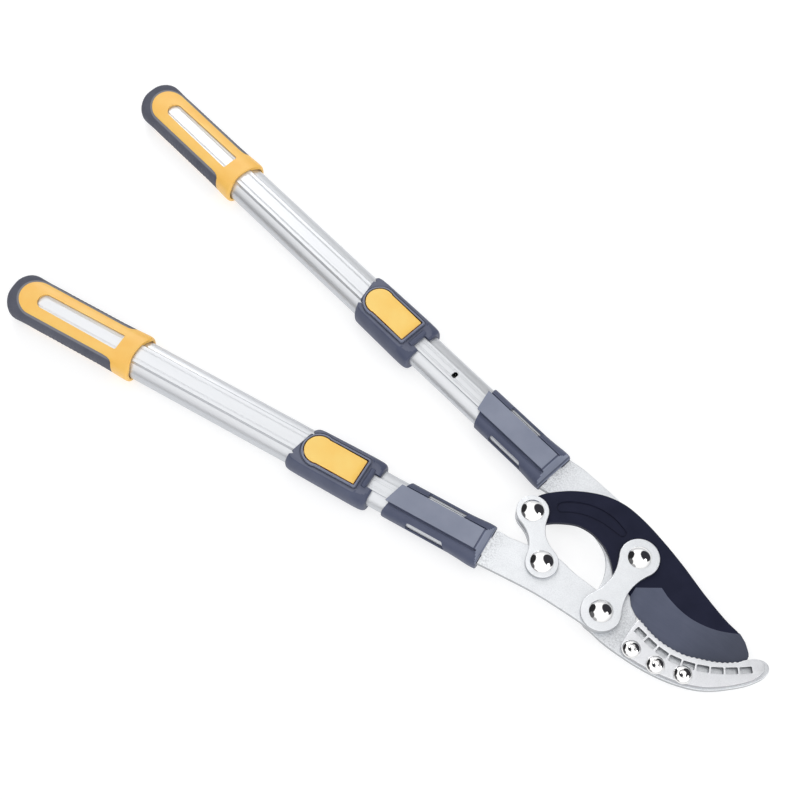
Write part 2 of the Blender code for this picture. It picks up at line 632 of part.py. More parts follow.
    # lock button: D-shaped rocker on a cross pin, catch under its square front
    r = 11.6
    dee = [(268.6 + r * math.cos(math.radians(a)), r * math.sin(math.radians(a))) for a in range(90, 271, 15)]
    dee += [(271.2, -r), (272.8, 0.5 - r), (306.4, 0.5 - r), (306.4, r - 0.5), (272.8, r - 0.5), (271.2, r)]
    ob = plate(P + "lock_button", ORANGE, dee, [], 12.4, 15.2)
    combine(ob, [box("c", 298.0, 306.3, -9.5, 9.5, 9.7, 13.5), box("c", 273.0, 279.0, -8.0, 8.0, 10.9, 13.5)], "UNION")
    cuts = [plate("c", None, circle(PIN_R + GAP, 10, PIN_S, PIN_Z), [], -20, 20, axis="Y"),
            cyl("c", 3.4, 263.6, 0, 8, 13.9), cyl("c", 2.4, 302.4, 0, 5, 12.7)]
    combine(ob, cuts, "DIFFERENCE")
    add(ob, (PIN_S, 0, PIN_Z))
    bm = bmesh.new()
    rings = [[bm.verts.new((PIN_S + x, n, PIN_Z + z)) for x, z in circle(PIN_R, 10)] for n in (-13.0, 13.0)]
    for k in range(10):
        j = (k + 1) % 10
        bm.faces.new((rings[0][k], rings[0][j], rings[1][j], rings[1][k]))
    for ring in rings:
        bm.faces.new(ring)
    add(finish(bm, P + "button_pin", STEEL), (PIN_S, 0, PIN_Z))
    add(coil(P + "button_spring", STEEL, 2.3, 0.3, 10.85, 13.55, 2.0, 263.6, 0), (263.6, 0, 10.85))
    add(turned(P + "lock_catch", STEEL, [(0, 12.4), (2.0, 12.4), (2.0, 9.2), (1.6, 8.75), (0, 8.75)], 12, 302.4, 0),
        (302.4, 0, 12.0))

    # grip: orange frame round the tube, grey rubber on both flanks and the end
    core = grip_shell(P + "grip_core")
    core.data.materials.append(material(*ORANGE))
    combine(core, [band("c", 0.0)], "INTERSECT")
    win = [(0.2 + 6.2 * math.cos(math.radians(a)) + 6.2, 6.2 * math.sin(math.radians(a))) for a in range(90, 271, 30)]
    win += [(79.0, -7.1), (81.0, -5.4), (81.0, 5.4), (79.0, 7.1)]
    bore = lambda: loft("c", None, [tube_section(s0 - GAP, OUTER, GAP), tube_section(130, OUTER, GAP)])
    combine(core, [bore(), plate("c", None, win, [], 2, 24)], "DIFFERENCE")
    add(core, (s0, 0, 0))
    cover = grip_shell(P + "grip_cover")
    cover.data.materials.append(material(*RUBBER))
    combine(cover, [band("c", GAP), bore()], "DIFFERENCE")
    add(cover, (s0, 0, 0))
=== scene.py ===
import bpy
import bmesh
import math
from mathutils import Vector, Matrix


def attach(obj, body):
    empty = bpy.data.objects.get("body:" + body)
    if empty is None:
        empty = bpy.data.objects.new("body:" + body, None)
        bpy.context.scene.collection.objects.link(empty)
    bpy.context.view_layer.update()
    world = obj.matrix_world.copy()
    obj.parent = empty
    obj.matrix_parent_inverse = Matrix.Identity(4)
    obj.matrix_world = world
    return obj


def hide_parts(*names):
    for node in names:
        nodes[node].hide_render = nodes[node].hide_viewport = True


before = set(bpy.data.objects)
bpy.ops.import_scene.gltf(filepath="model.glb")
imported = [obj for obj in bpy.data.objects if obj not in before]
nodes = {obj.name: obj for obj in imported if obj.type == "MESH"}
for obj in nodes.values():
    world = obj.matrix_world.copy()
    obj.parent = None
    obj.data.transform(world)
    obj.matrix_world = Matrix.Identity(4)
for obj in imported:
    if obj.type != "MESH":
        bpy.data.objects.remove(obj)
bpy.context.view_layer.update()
MM = 0.001

# ------------------------------------------------------------------ layout
HEAD = (231.0, -33.8)            # arm pivot, row frame, millimetres
AXIS_Z = 13.5
ANGLE = 8.223
UPPER = (HEAD[0] - 557.0, HEAD[1] + 138.2)
LOWER = (HEAD[0] - 510.7, HEAD[1] - 70.6)
P_ARM, P_BLADE, P_TAIL, P_LINK = (0.0, 0.0), (-1.4, 52.3), (-86.8, 32.7), (-57.0, 3.9)
SCREWS = ((33.8, -8.5), (54.3, -7.4), (74.0, -1.0))
FRAME_Z, BLADE_Z, LINK_Z, DOME_Z = (8.7, 13.3), (13.6, 18.1), (18.4, 21.9), 22.2
OUTER, INNER, WALL = (16.9, 10.5, 8.0), (15.6, 8.4, 6.0), 1.0


def matrix(start, angle, z=0.0):
    return Matrix.Translation(Vector((start[0], start[1], z)) * MM) @ Matrix.Rotation(math.radians(angle), 4, "Z")


M_HEAD = matrix(HEAD, 0.0)
M_SIDE = {"upper": matrix(UPPER, -ANGLE, AXIS_Z), "lower": matrix(LOWER, ANGLE, AXIS_Z)}


def on_handle(start, angle, s, n):
    c, d = math.cos(math.radians(angle)), math.sin(math.radians(angle))
    return (start[0] - HEAD[0] + s * c - n * d, start[1] - HEAD[1] + s * d + n * c)


def u(s, n):
    return on_handle(UPPER, -ANGLE, s, n)


def v(s, n):
    return on_handle(LOWER, ANGLE, s, n)


# --------------------------------------------------------------- materials
class Nodes:
    """Small helper that strings shader nodes together."""

    def __init__(self, name):
        self.mat = bpy.data.materials.new(name)
        self.mat.use_nodes = True
        self.tree = self.mat.node_tree
        self.bsdf = self.tree.nodes["Principled BSDF"]
        self.coord = self.tree.nodes.new("ShaderNodeTexCoord").outputs["Object"]

    def link(self, a, b):
        self.tree.links.new(a, b)

    def mapped(self, scale, rot=(0, 0, 0)):
        m = self.tree.nodes.new("ShaderNodeMapping")
        m.inputs["Scale"].default_value = scale
        m.inputs["Rotation"].default_value = rot
        self.link(self.coord, m.inputs["Vector"])
        return m.outputs["Vector"]

    def noise(self, scale, detail=3.0, vector=None, rough=0.5, distortion=0.0):
        n = self.tree.nodes.new("ShaderNodeTexNoise")
        n.inputs["Scale"].default_value = scale
        n.inputs["Detail"].default_value = detail
        n.inputs["Roughness"].default_value = rough
        n.inputs["Distortion"].default_value = distortion
        self.link(vector or self.coord, n.inputs["Vector"])
        return n.outputs["Fac"]

    def cells(self, scale, vector=None):
        n = self.tree.nodes.new("ShaderNodeTexVoronoi")
        n.inputs["Scale"].default_value = scale
        self.link(vector or self.coord, n.inputs["Vector"])
        return n.outputs["Distance"]

    def ramp(self, fac, stops):
        r = self.tree.nodes.new("ShaderNodeValToRGB")
        e = r.color_ramp.elements
        while len(e) < len(stops):
            e.new(0.5)
        for i, (pos, col) in enumerate(stops):
            e[i].position = pos
            e[i].color = (*col, 1.0) if len(col) == 3 else col
        self.link(fac, r.inputs["Fac"])
        return r.outputs["Color"]

    def span(self, fac, a, b, lo=0.0, hi=1.0):
        m = self.tree.nodes.new("ShaderNodeMapRange")
        m.inputs["From Min"].default_value = lo
        m.inputs["From Max"].default_value = hi
        m.inputs["To Min"].default_value = a
        m.inputs["To Max"].default_value = b
        self.link(fac, m.inputs["Value"])
        return m.outputs["Result"]

    def mix(self, fac, a, b, mode="MIX"):
        m = self.tree.nodes.new("ShaderNodeMix")
        m.data_type = "RGBA"
        m.blend_type = mode
        for value, key in ((fac, 0), (a, 6), (b, 7)):
            if hasattr(value, "is_output"):
                self.link(value, m.inputs[key])
            elif key == 0:
                m.inputs[0].default_value = value
            else:
                m.inputs[key].default_value = (*value, 1.0)
        return m.outputs[2]

    def axis(self, key, vector=None):
        s = self.tree.nodes.new("ShaderNodeSeparateXYZ")
        self.link(vector or self.coord, s.inputs[0])
        return s.outputs[key]

    def calc(self, how, a, b=0.0):
        m = self.tree.nodes.new("ShaderNodeMath")
        m.operation = how
        for i, value in enumerate((a, b)):
            if hasattr(value, "is_output"):
                self.link(value, m.inputs[i])
            else:
                m.inputs[i].default_value = value
        return m.outputs[0]

    def soft(self, fac, lo, hi):
        """0 at lo, 1 at hi, eased."""
        m = self.tree.nodes.new("ShaderNodeMapRange")
        m.interpolation_type = "SMOOTHSTEP"
        m.inputs["From Min"].default_value = lo
        m.inputs["From Max"].default_value = hi
        self.link(fac, m.inputs["Value"])
        return m.outputs["Result"]

    def bump(self, height, strength, distance, normal=None):
        b = self.tree.nodes.new("ShaderNodeBump")
        b.inputs["Strength"].default_value = strength
        b.inputs["Distance"].default_value = distance
        self.link(height, b.inputs["Height"])
        if normal:
            self.link(normal, b.inputs["Normal"])
        return b.outputs["Normal"]

    def done(self, colour, rough, metal, normal=None, **fixed):
        for value, key in ((colour, "Base Color"), (rough, "Roughness"), (normal, "Normal")):
            if value is None:
                continue
            if hasattr(value, "is_output"):
                self.link(value, self.bsdf.inputs[key])
            elif key == "Base Color":
                self.bsdf.inputs[key].default_value = (*value, 1.0)
            else:
                self.bsdf.inputs[key].default_value = value
        self.bsdf.inputs["Metallic"].default_value = metal
        for key, value in fixed.items():
            self.bsdf.inputs[key.replace("_", " ")].default_value = value
        return self.mat


def zinc(name, light, dark, speck=0.5, metal=0.75, lip=None, painted_shadows=()):
    """Zinc plate: fine specks and faint clouds, mottled painted shade by the sleeve lip, a painted shadow round the
    main pivot, and painted shade on faces that do not face up.
    """
    n = Nodes(name)
    fine = n.noise(1100, 4, rough=0.7)
    patch = n.noise(70, 4)
    grain = n.ramp(fine, [(0.36, dark), (0.60, light)])
    soft = n.ramp(patch, [(0.30, tuple(0.90 * c for c in light)), (0.65, light)])
    col = n.mix(speck, soft, grain)
    # dark tone for the painted shade by the lip and the painted shadow round the pivot
    painted_shade_tone = tuple(0.55 * c for c in dark)
    coarse = n.soft(n.noise(760, 3, rough=0.8), 0.42, 0.62)
    # painted shade: the plate darkens, mottled, towards the sleeve lip that shades it
    if lip:
        (x, y), (dx, dy), reach = lip
        along = n.calc("ADD", n.calc("MULTIPLY", n.axis("X"), dx), n.calc("MULTIPLY", n.axis("Y"), dy))
        near = n.soft(along, (x * dx + y * dy + reach) * MM, (x * dx + y * dy) * MM)
        col = n.mix(n.calc("MULTIPLY", n.calc("MULTIPLY", near, coarse), 0.6), col, painted_shade_tone)
    # painted shadow: a soft dark disc round a point, where the bridge link shades the frame
    for x, y, r0, r1 in painted_shadows:
        a = n.calc("SUBTRACT", n.axis("X"), x * MM)
        b = n.calc("SUBTRACT", n.axis("Y"), y * MM)
        d = n.calc("SQRT", n.calc("ADD", n.calc("MULTIPLY", a, a), n.calc("MULTIPLY", b, b)))
        col = n.mix(n.calc("MULTIPLY", n.calc("MULTIPLY", n.soft(d, r1 * MM, r0 * MM), coarse), 0.4), col, painted_shade_tone)
    # painted shade: faces that do not face up, the rims and walls, are darkened
    facing = n.calc("ABSOLUTE", n.axis("Z", n.tree.nodes.new("ShaderNodeTexCoord").outputs["Normal"]))
    col = n.mix(n.calc("MULTIPLY", n.soft(facing, 0.55, 0.10), 0.75), col, tuple(0.42 * c for c in dark))
    rough = n.span(n.noise(260, 3), 0.30, 0.46, 0.3, 0.7)
    nor = n.bump(fine, 0.25, 0.00012)
    nor = n.bump(n.noise(420, 2), 0.15, 0.0002, nor)
    return n.done(col, rough, metal, nor)


def aluminium():
    n = Nodes("anodised_aluminium")
    lines = n.noise(1.0, 2, n.mapped((6, 1500, 1500)))
    haze = n.noise(22, 3)
    col = n.mix(0.5, n.ramp(lines, [(0.35, (0.84, 0.85, 0.87)), (0.65, (0.91, 0.92, 0.935))]),
                n.ramp(haze, [(0.3, (0.86, 0.872, 0.89)), (0.7, (0.92, 0.928, 0.94))]))
    # painted shade: faces that turn away from up, the tube's flanks, are darkened
    facing = n.axis("Z", n.tree.nodes.new("ShaderNodeTexCoord").outputs["Normal"])
    side = n.soft(facing, 0.86, 0.30)
    col = n.mix(side, n.mix(0.7, col, (0.66, 0.675, 0.70)), (0.60, 0.617, 0.645))
    rough = n.span(lines, 0.36, 0.48, 0.3, 0.7)
    return n.done(col, rough, 0.8, n.bump(lines, 0.08, 0.00006))


def chrome():
    n = Nodes("polished_chrome")
    smear = n.noise(180, 3)
    col = n.ramp(smear, [(0.3, (0.86, 0.85, 0.84)), (0.7, (0.93, 0.93, 0.92))])
    rough = n.span(n.noise(500, 4), 0.03, 0.10, 0.35, 0.7)
    return n.done(col, rough, 1.0, n.bump(n.noise(300, 2), 0.05, 0.0001))


def coating(name, dark, light, rough_lo, rough_hi, streak=None, spec=0.25, fade=None):
    n = Nodes(name)
    mott = n.noise(60, 4)
    fine = n.noise(1700, 3)
    col = n.ramp(mott, [(0.3, dark), (0.7, light)])
    if streak:
        lines = n.noise(1.0, 3, n.mapped(streak, (0, 0, math.radians(-62))))
        col = n.mix(0.14, col, n.ramp(lines, [(0.35, dark), (0.7, tuple(1.25 * c for c in light))]))
    # painted shade: with fade, the colour darkens along X towards the tip
    if fade:
        x0, x1, k = fade
        tip_shade = n.soft(n.axis("X"), x0 * MM, x1 * MM)
        col = n.mix(tip_shade, col, n.mix(1.0, col, (k, k, k), "MULTIPLY"))
    rough = n.span(fine, rough_lo, rough_hi, 0.3, 0.7)
    return n.done(col, rough, 0.0, n.bump(fine, 0.12, 0.00008), Specular_IOR_Level=spec)


def plastic(name, dark, light, rough_lo, rough_hi, grain=2200, strength=0.18, spec=0.5):
    n = Nodes(name)
    cloud = n.noise(45, 3)
    fine = n.noise(grain, 4, rough=0.6)
    col = n.ramp(cloud, [(0.3, dark), (0.7, light)])
    rough = n.span(fine, rough_lo, rough_hi, 0.3, 0.7)
    nor = n.bump(fine, strength, 0.00012)
    nor = n.bump(n.noise(300, 2), 0.06, 0.0002, nor)
    return n.done(col, rough, 0.0, nor, Specular_IOR_Level=spec)


def rubber():
    n = Nodes("soft_grey_rubber")
    pores = n.cells(1500)
    cloud = n.noise(60, 4)
    col = n.ramp(cloud, [(0.3, (0.080, 0.085, 0.116)), (0.72, (0.112, 0.117, 0.150))])
    # paler lip along the orange frame: distance from the frame's outline
    behind = n.calc("MINIMUM", n.calc("ADD", n.axis("X"), 0.001), 0.0)
    side = n.axis("Y")
    d = n.calc("SQRT", n.calc("ADD", n.calc("MULTIPLY", behind, behind), n.calc("MULTIPLY", side, side)))
    upper = n.soft(n.calc("ABSOLUTE", n.axis("Z")), 0.004, 0.007)
    lip = n.calc("MULTIPLY", n.soft(d, 0.0172, 0.0163), upper)
    col = n.mix(n.calc("MULTIPLY", lip, 0.75), col, (0.26, 0.265, 0.29))
    nor = n.bump(pores, 0.35, 0.00016)
    return n.done(col, n.span(n.noise(900, 3), 0.62, 0.85, 0.3, 0.7), 0.0, nor, Specular_IOR_Level=0.35)


U_DIR = (math.cos(math.radians(-ANGLE)), math.sin(math.radians(-ANGLE)))
L_DIR = (math.cos(math.radians(ANGLE)), math.sin(math.radians(ANGLE)))
ZINC = zinc("zinc_plate_links", (0.925, 0.945, 0.97), (0.735, 0.755, 0.785), 0.4)
# the frame and arm plates carry painted shade by their sleeve lips; the frame also a painted shadow round its main
# pivot
ZINC_FRAME = zinc("zinc_plate_frame", (0.905, 0.925, 0.95), (0.66, 0.68, 0.71), 0.5, lip=(u(467.0, 0), U_DIR, 22.0),
                  painted_shadows=((8.0, -4.0, 17.0, 30.0),))
ZINC_ARM = zinc("zinc_plate_arm", (0.915, 0.935, 0.96), (0.69, 0.71, 0.74), 0.5, lip=(v(415.5, 0), L_DIR, 20.0))
SOCKET = zinc("socket_wall_shadow", (0.10, 0.10, 0.11), (0.05, 0.05, 0.055), 0.4)
# painted shade: dark tone for the walls of the insert's slots
SLOT_SHADE = zinc("slot_wall_painted_shade", (0.30, 0.31, 0.34), (0.20, 0.21, 0.24), 0.4)
CAST = zinc("anvil_plated_casting", (0.92, 0.93, 0.955), (0.74, 0.75, 0.785), 0.4)
ALU = aluminium()
CHROME = chrome()
STEEL = zinc("plain_steel_parts", (0.62, 0.62, 0.63), (0.38, 0.38, 0.40), 0.4, 0.95)
NAVY = coating("blade_dark_coating", (0.007, 0.009, 0.026), (0.012, 0.014, 0.036), 0.42, 0.56, None, 0.16)
# the ground bevel carries painted shade, darker towards the blade's tip
BEVEL = coating("blade_ground_bevel", (0.075, 0.087, 0.136), (0.092, 0.105, 0.160), 0.38, 0.52, (40, 700, 700), 0.30,
                (40.0, 100.0, 0.62))
EDGE = zinc("cutting_edge_steel", (0.70, 0.71, 0.74), (0.5, 0.5, 0.53), 0.3, 1.0)
GREY = plastic("grey_moulded_plastic", (0.069, 0.081, 0.136), (0.089, 0.103, 0.166), 0.40, 0.54, spec=0.4)
# painted light: a lighter copy of the grey plastic for the sleeve's up-facing top panel
PANEL_LIT = plastic("sleeve_panel_painted_light", (0.218, 0.242, 0.322), (0.258, 0.282, 0.366), 0.42, 0.52, spec=0.4)
# painted light: a lighter copy of the grey plastic for the sleeve's nose slope
NOSE_LIT = plastic("sleeve_nose_painted_light", (0.215, 0.240, 0.325), (0.255, 0.280, 0.370), 0.40, 0.52, spec=0.4)
# painted light: a lighter copy of the grey plastic for the housing's up-facing deck
DECK_LIT = plastic("housing_deck_painted_light", (0.108, 0.120, 0.176), (0.136, 0.149, 0.210), 0.40, 0.52, spec=0.4)
# painted light: a lighter copy of the grey plastic for the bezel ring round the button
BEZEL_LIT = plastic("bezel_painted_light", (0.175, 0.194, 0.268), (0.215, 0.235, 0.315), 0.40, 0.52, spec=0.4)
RUBBER = rubber()
ORANGE = plastic("orange_moulded_plastic", (0.97, 0.535, 0.100), (0.99, 0.615, 0.155), 0.32, 0.44, 1400, 0.10)
ORANGE_BTN = plastic("orange_button_plastic", (0.99, 0.605, 0.122), (1.0, 0.68, 0.175), 0.28, 0.40, 1400, 0.08)
# painted shade: dark red-orange for the button's side walls
ORANGE_SIDE_SHADE = plastic("orange_button_side_painted_shade", (0.42, 0.085, 0.018), (0.50, 0.12, 0.028), 0.36, 0.48)
GAP = plastic("button_gap_shadow", (0.045, 0.014, 0.012), (0.070, 0.022, 0.018), 0.5, 0.6)
NYLON = plastic("black_nylon", (0.030, 0.030, 0.034), (0.05, 0.05, 0.055), 0.45, 0.6)


# ------------------------------------------------------------- mesh helpers
def to_object(bm, name, mats, mat4=None, sharp=35.0, weighted=True, mark=None):
    bmesh.ops.recalc_face_normals(bm, faces=bm.faces)
    if bm.calc_volume(signed=True) < 0:
        bmesh.ops.reverse_faces(bm, faces=bm.faces)
    bmesh.ops.scale(bm, vec=(MM, MM, MM), verts=bm.verts)
    for f in bm.faces:
        f.smooth = True
    lim = math.radians(sharp)
    for e in bm.edges:
        e.smooth = not (len(e.link_faces) == 2 and e.calc_face_angle(0.0) > lim)
    if mark:
        for e in mark:
            if e.is_valid:
                e.smooth = False
    me = bpy.data.meshes.new(name)
    bm.to_mesh(me)
    bm.free()
    for m in (mats if isinstance(mats, (list, tuple)) else [mats]):
        me.materials.append(m)
    ob = bpy.data.objects.new(name, me)
    bpy.context.scene.collection.objects.link(ob)
    if mat4 is not None:
        ob.matrix_world = mat4
    if weighted:
        w = ob.modifiers.new("flat_normals", "WEIGHTED_NORMAL")
        w.keep_sharp = True
        w.weight = 80
    return ob


def tool(bm, name="tool"):
    bmesh.ops.recalc_face_normals(bm, faces=bm.faces)
    if bm.calc_volume(signed=True) < 0:
        bmesh.ops.reverse_faces(bm, faces=bm.faces)
    bmesh.ops.scale(bm, vec=(MM, MM, MM), verts=bm.verts)
    me = bpy.data.meshes.new(name)
    bm.to_mesh(me)
    bm.free()
    ob = bpy.data.objects.new(name, me)
    bpy.context.scene.collection.objects.link(ob)
    return ob


def boolean(ob, tools, how="DIFFERENCE"):
    for i, t in enumerate(tools):
        m = ob.modifiers.new("b%d" % i, "BOOLEAN")
        m.operation, m.solver, m.object = how, "EXACT", t
    bpy.context.view_layer.update()
    new = bpy.data.meshes.new_from_object(ob.evaluated_get(bpy.context.evaluated_depsgraph_get()))
    old = ob.data
    ob.modifiers.clear()
    ob.data = new
    bpy.data.meshes.remove(old)
    for t in tools:
        bpy.data.objects.remove(t, do_unlink=True)
    bm = bmesh.new()
    bm.from_mesh(new)
    bmesh.ops.remove_doubles(bm, verts=bm.verts, dist=0.000003)
    bmesh.ops.dissolve_limit(bm, angle_limit=math.radians(0.5), verts=bm.verts, edges=bm.edges)
    bm.to_mesh(new)
    bm.free()
    return ob


def rounded(ob, mats, mat4, width, segments=2, angle=38.0, name=None):
    """Give a cut solid its materials, place, edge radius and even shading."""
    me = ob.data
    me.materials.clear()
    for m in (mats if isinstance(mats, (list, tuple)) else [mats]):
        me.materials.append(m)
    for p in me.polygons:
        p.use_smooth = True
    ob.matrix_world = mat4
    if width:
        b = ob.modifiers.new("edges", "BEVEL")
        b.width = width * MM
        b.segments = segments
        b.limit_method = "ANGLE"
        b.angle_limit = math.radians(angle)
        b.miter_outer = "MITER_ARC"
        b.use_clamp_overlap = True
        b.harden_normals = False
    w = ob.modifiers.new("flat_normals", "WEIGHTED_NORMAL")
    w.keep_sharp = True
    w.weight = 80
    me.set_sharp_from_angle(angle=math.radians(60))
    if name:
        ob.name = name
    return ob


def circle(r, n, cx=0.0, cy=0.0, turn=0.0):
    return [(cx + r * math.cos(turn + 2 * math.pi * i / n), cy + r * math.sin(turn + 2 * math.pi * i / n))
            for i in range(n)]


def curve(points, steps=6):
    p = [Vector(q) for q in points]
    ext = [p[0] * 2 - p[1]] + p + [p[-1] * 2 - p[-2]]
    out = []
    for i in range(1, len(ext) - 2):
        a, b, c, d = ext[i - 1:i + 3]
        for k in range(steps):
            t = k / steps
            q = 0.5 * (2 * b + (c - a) * t + (2 * a - 5 * b + 4 * c - d) * t * t + (3 * b - a - 3 * c + d) * t ** 3)
            out.append((q.x, q.y))
    out.append((p[-1].x, p[-1].y))
    return out


def area(loop):
    return 0.5 * sum(a[0] * b[1] - b[0] * a[1] for a, b in zip(loop, loop[1:] + loop[:1]))


def inset(loop, d):
    out = []
    n = len(loop)
    for i in range(n):
        p0, p1, p2 = Vector(loop[i - 1]), Vector(loop[i]), Vector(loop[(i + 1) % n])
        e1, e2 = (p1 - p0).normalized(), (p2 - p1).normalized()
        n1, n2 = Vector((-e1.y, e1.x)), Vector((-e2.y, e2.x))
        m = n1 + n2
        if m.length < 1e-6:
            m = n1
        m.normalize()
        q = p1 + m * (d / max(0.5, m.dot(n1)))
        out.append((q.x, q.y))
    return out


def clean(loop, tol=0.02):
    out = []
    for p in loop:
        if not out or (Vector(p) - Vector(out[-1])).length > tol:
            out.append(p)
    if (Vector(out[0]) - Vector(out[-1])).length < tol:
        out.pop()
    return out


def resample(points, step):
    """Open polyline to even steps."""
    out = [points[0]]
    need = step
    for a, b in zip(points, points[1:]):
        a, b = Vector(a), Vector(b)
        seg = (b - a).length
        pos = 0.0
        while seg - pos >= need:
            pos += need
            q = a + (b - a) * (pos / seg)
            out.append((q.x, q.y))
            need = step
        need -= seg - pos
    if (Vector(points[-1]) - Vector(out[-1])).length > step * 0.4:
        out.append(points[-1])
    return out


def fill(bm, loops, index=0):
    edges = []
    for loop in loops:
        for a, b in zip(loop, loop[1:] + loop[:1]):
            edges.append(bm.edges.get((a, b)) or bm.edges.new((a, b)))
    r = bmesh.ops.triangle_fill(bm, use_beauty=True, use_dissolve=False, edges=edges, normal=(0, 0, 1))
    faces = [g for g in r["geom"] if isinstance(g, bmesh.types.BMFace)]
    for f in faces:
        f.material_index = index
    return faces


def rings_for(z0, z1, r, segs):
    prof = []
    for k in range(segs + 1):
        a = math.pi / 2 * k / segs
        prof.append((r * (1 - math.sin(a)), z0 + r * (1 - math.cos(a))))
    top = [(d, z1 - (z - z0)) for d, z in reversed(prof)]
    return prof + top


def slab(outline, holes, z0, z1, r=0.5, segs=2, hole_r=None, bm=None):
    """Plate with rounded rims on its outline and its holes."""
    bm = bm or bmesh.new()
    outline = clean(outline)
    if area(outline) < 0:
        outline = outline[::-1]
    loops = [outline]
    for h in holes:
        h = clean(h)
        loops.append(h[::-1] if area(h) > 0 else h)
    stacks = []
    for k, loop in enumerate(loops):
        rr = r if k == 0 else (hole_r if hole_r is not None else r)
        stack = []
        for d, z in rings_for(z0, z1, rr, segs):
            stack.append([bm.verts.new((x, y, z)) for x, y in inset(loop, d)])
        stacks.append(stack)
        for a, b in zip(stack, stack[1:]):
            n = len(a)
            for i in range(n):
                j = (i + 1) % n
                bm.faces.new((a[i], a[j], b[j], b[i]))
    fill(bm, [s[0] for s in stacks])
    fill(bm, [s[-1] for s in stacks])
    return bm


def spin(profile, n=64, cx=0.0, cy=0.0, bm=None):
    bm = bm or bmesh.new()
    rings = []
    for r, z in profile:
        rings.append([bm.verts.new((cx, cy, z))] if r < 1e-6 else
                     [bm.verts.new((x, y, z)) for x, y in circle(r, n, cx, cy)])
    for a, b in zip(rings, rings[1:]):
        for i in range(n):
            j = (i + 1) % n
            if len(a) == 1:
                bm.faces.new((a[0], b[i], b[j]))
            elif len(b) == 1:
                bm.faces.new((a[i], b[0], a[j]))
            else:
                bm.faces.new((a[i], b[i], b[j], a[j]))
    return bm


def skin(bm, sections, cap0=True, cap1=True, index=0):
    rings = [[bm.verts.new(p) for p in sec] for sec in sections]
    n = len(rings[0])
    for a, b in zip(rings, rings[1:]):
        for i in range(n):
            j = (i + 1) % n
            f = bm.faces.new((a[i], a[j], b[j], b[i]))
            f.material_index = index
    if cap0:
        bm.faces.new(rings[0])
    if cap1:
        bm.faces.new(rings[-1])
    return rings


def hollow(outer, inner):
    bm = bmesh.new()
    o = skin(bm, outer, False, False)
    q = skin(bm, inner, False, False)
    for a, b in ((o[0], q[0]), (o[-1], q[-1])):
        n = len(a)
        for i in range(n):
            j = (i + 1) % n
            bm.faces.new((a[i], a[j], b[j], b[i]))
    return bm


def prism(outline, z0, z1, stand=False):
    """Straight cutter from an outline; stand makes the outline (x, z) and the depth run along Y."""
    bm = bmesh.new()
    outline = clean(outline)
    rings = [[bm.verts.new((x, y, z)) for x, y in outline] for z in (z0, z1)]
    fill(bm, [rings[0]])
    fill(bm, [rings[1]])
    n = len(outline)
    for i in range(n):
        j = (i + 1) % n
        bm.faces.new((rings[0][i], rings[0][j], rings[1][j], rings[1][i]))
    if stand:
        bmesh.ops.rotate(bm, verts=bm.verts, matrix=Matrix.Rotation(math.pi / 2, 3, "X"))
    return tool(bm)


def block(s0, s1, n0, n1, z0, z1):
    return prism([(s0, n0), (s1, n0), (s1, n1), (s0, n1)], z0, z1)


def tube_profile(half, grow=0.0, fine=12, grooves=(), depth=0.22):
    """Rounded oval with a raised flat ridge, and fine lengthwise grooves, as (n, z)."""
    a, b, w = half[0] + grow, half[1] + grow, half[2] + grow * 0.8
    h = b - 1.1
    q = []
    for g in grooves:
        if g < w - 0.8:
            q += [(g - 0.32, b), (g, b - depth), (g + 0.32, b)]
    q += [(w - 0.45, b), (w - 0.16, b - 0.1), (w, b - 0.4), (w + 0.12, h + 0.22), (w + 0.5, h)]
    start = math.acos(((w + 1.1) / a) ** (1 / 0.75))
    for i in range(fine + 1):
        ang = start * (1 - i / fine)
        q.append((a * math.cos(ang) ** 0.75, h * math.sin(ang) ** 0.75 if ang > 1e-6 else 0.0))
    right = q + [(n, -z) for n, z in reversed(q[:-1])]
    return right + [(-n, z) for n, z in reversed(right)]


def tube_section(s, half, grow=0.0, **kw):
    return [(s, n, z) for n, z in tube_profile(half, grow, **kw)]


def fillet(points, cuts, segs=4):
    out = []
    n = len(points)
    for i in range(n):
        p0, p1, p2 = Vector(points[i - 1]), Vector(points[i]), Vector(points[(i + 1) % n])
        c = cuts[i] if isinstance(cuts, (list, tuple)) else cuts
        a = p1 + (p0 - p1).normalized() * min(c, (p0 - p1).length * 0.48)
        b = p1 + (p2 - p1).normalized() * min(c, (p2 - p1).length * 0.48)
        for k in range(segs + 1):
            t = k / segs
            q = a * (1 - t) ** 2 + p1 * 2 * t * (1 - t) + b * t * t
            out.append((q.x, q.y))
    return out


def paint(ob, mat, index, test):
    """Give the faces that pass a test on their centre and normal, in millimetres, a second material."""
    if len(ob.data.materials) <= index:
        ob.data.materials.append(mat)
    for q in ob.data.polygons:
        if test(q.center / MM, q.normal):
            q.material_index = index


def piece(ob, body, *replaced):
    if replaced:
        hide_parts(*replaced)
    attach(ob, body)
    return ob


# ------------------------------------------------------------------ camera
AZ, EL, DIST = 38.68, 64.0, 1.18228
target = Vector((7.23, 8.06, 24.0)) * MM
az, el = math.radians(AZ), math.radians(EL)
away = Vector((math.sin(az) * math.cos(el), -math.cos(az) * math.cos(el), math.sin(el)))
cam = bpy.data.objects.new("camera", bpy.data.cameras.new("camera"))
bpy.context.scene.collection.objects.link(cam)
cam.location = target + away * DIST
cam.rotation_euler = (-away).to_track_quat("-Z", "Y").to_euler()
cam.data.sensor_width = 36.0
cam.data.lens = 67.5
cam.data.clip_start = 0.05
cam.data.clip_end = 20.0
bpy.context.scene.camera = cam

# ------------------------------------------------------------- head: plates
us, ls, TANG = 468.5, 417.5, 8.0
cut_edge = curve([(24.0, 15.0), (40.8, 10.6), (50.7, 10.1), (59.7, 11.0), (68.0, 12.9), (77.4, 17.3),
                  (85.9, 21.5), (93.8, 26.8), (101.6, 33.8)], 6)


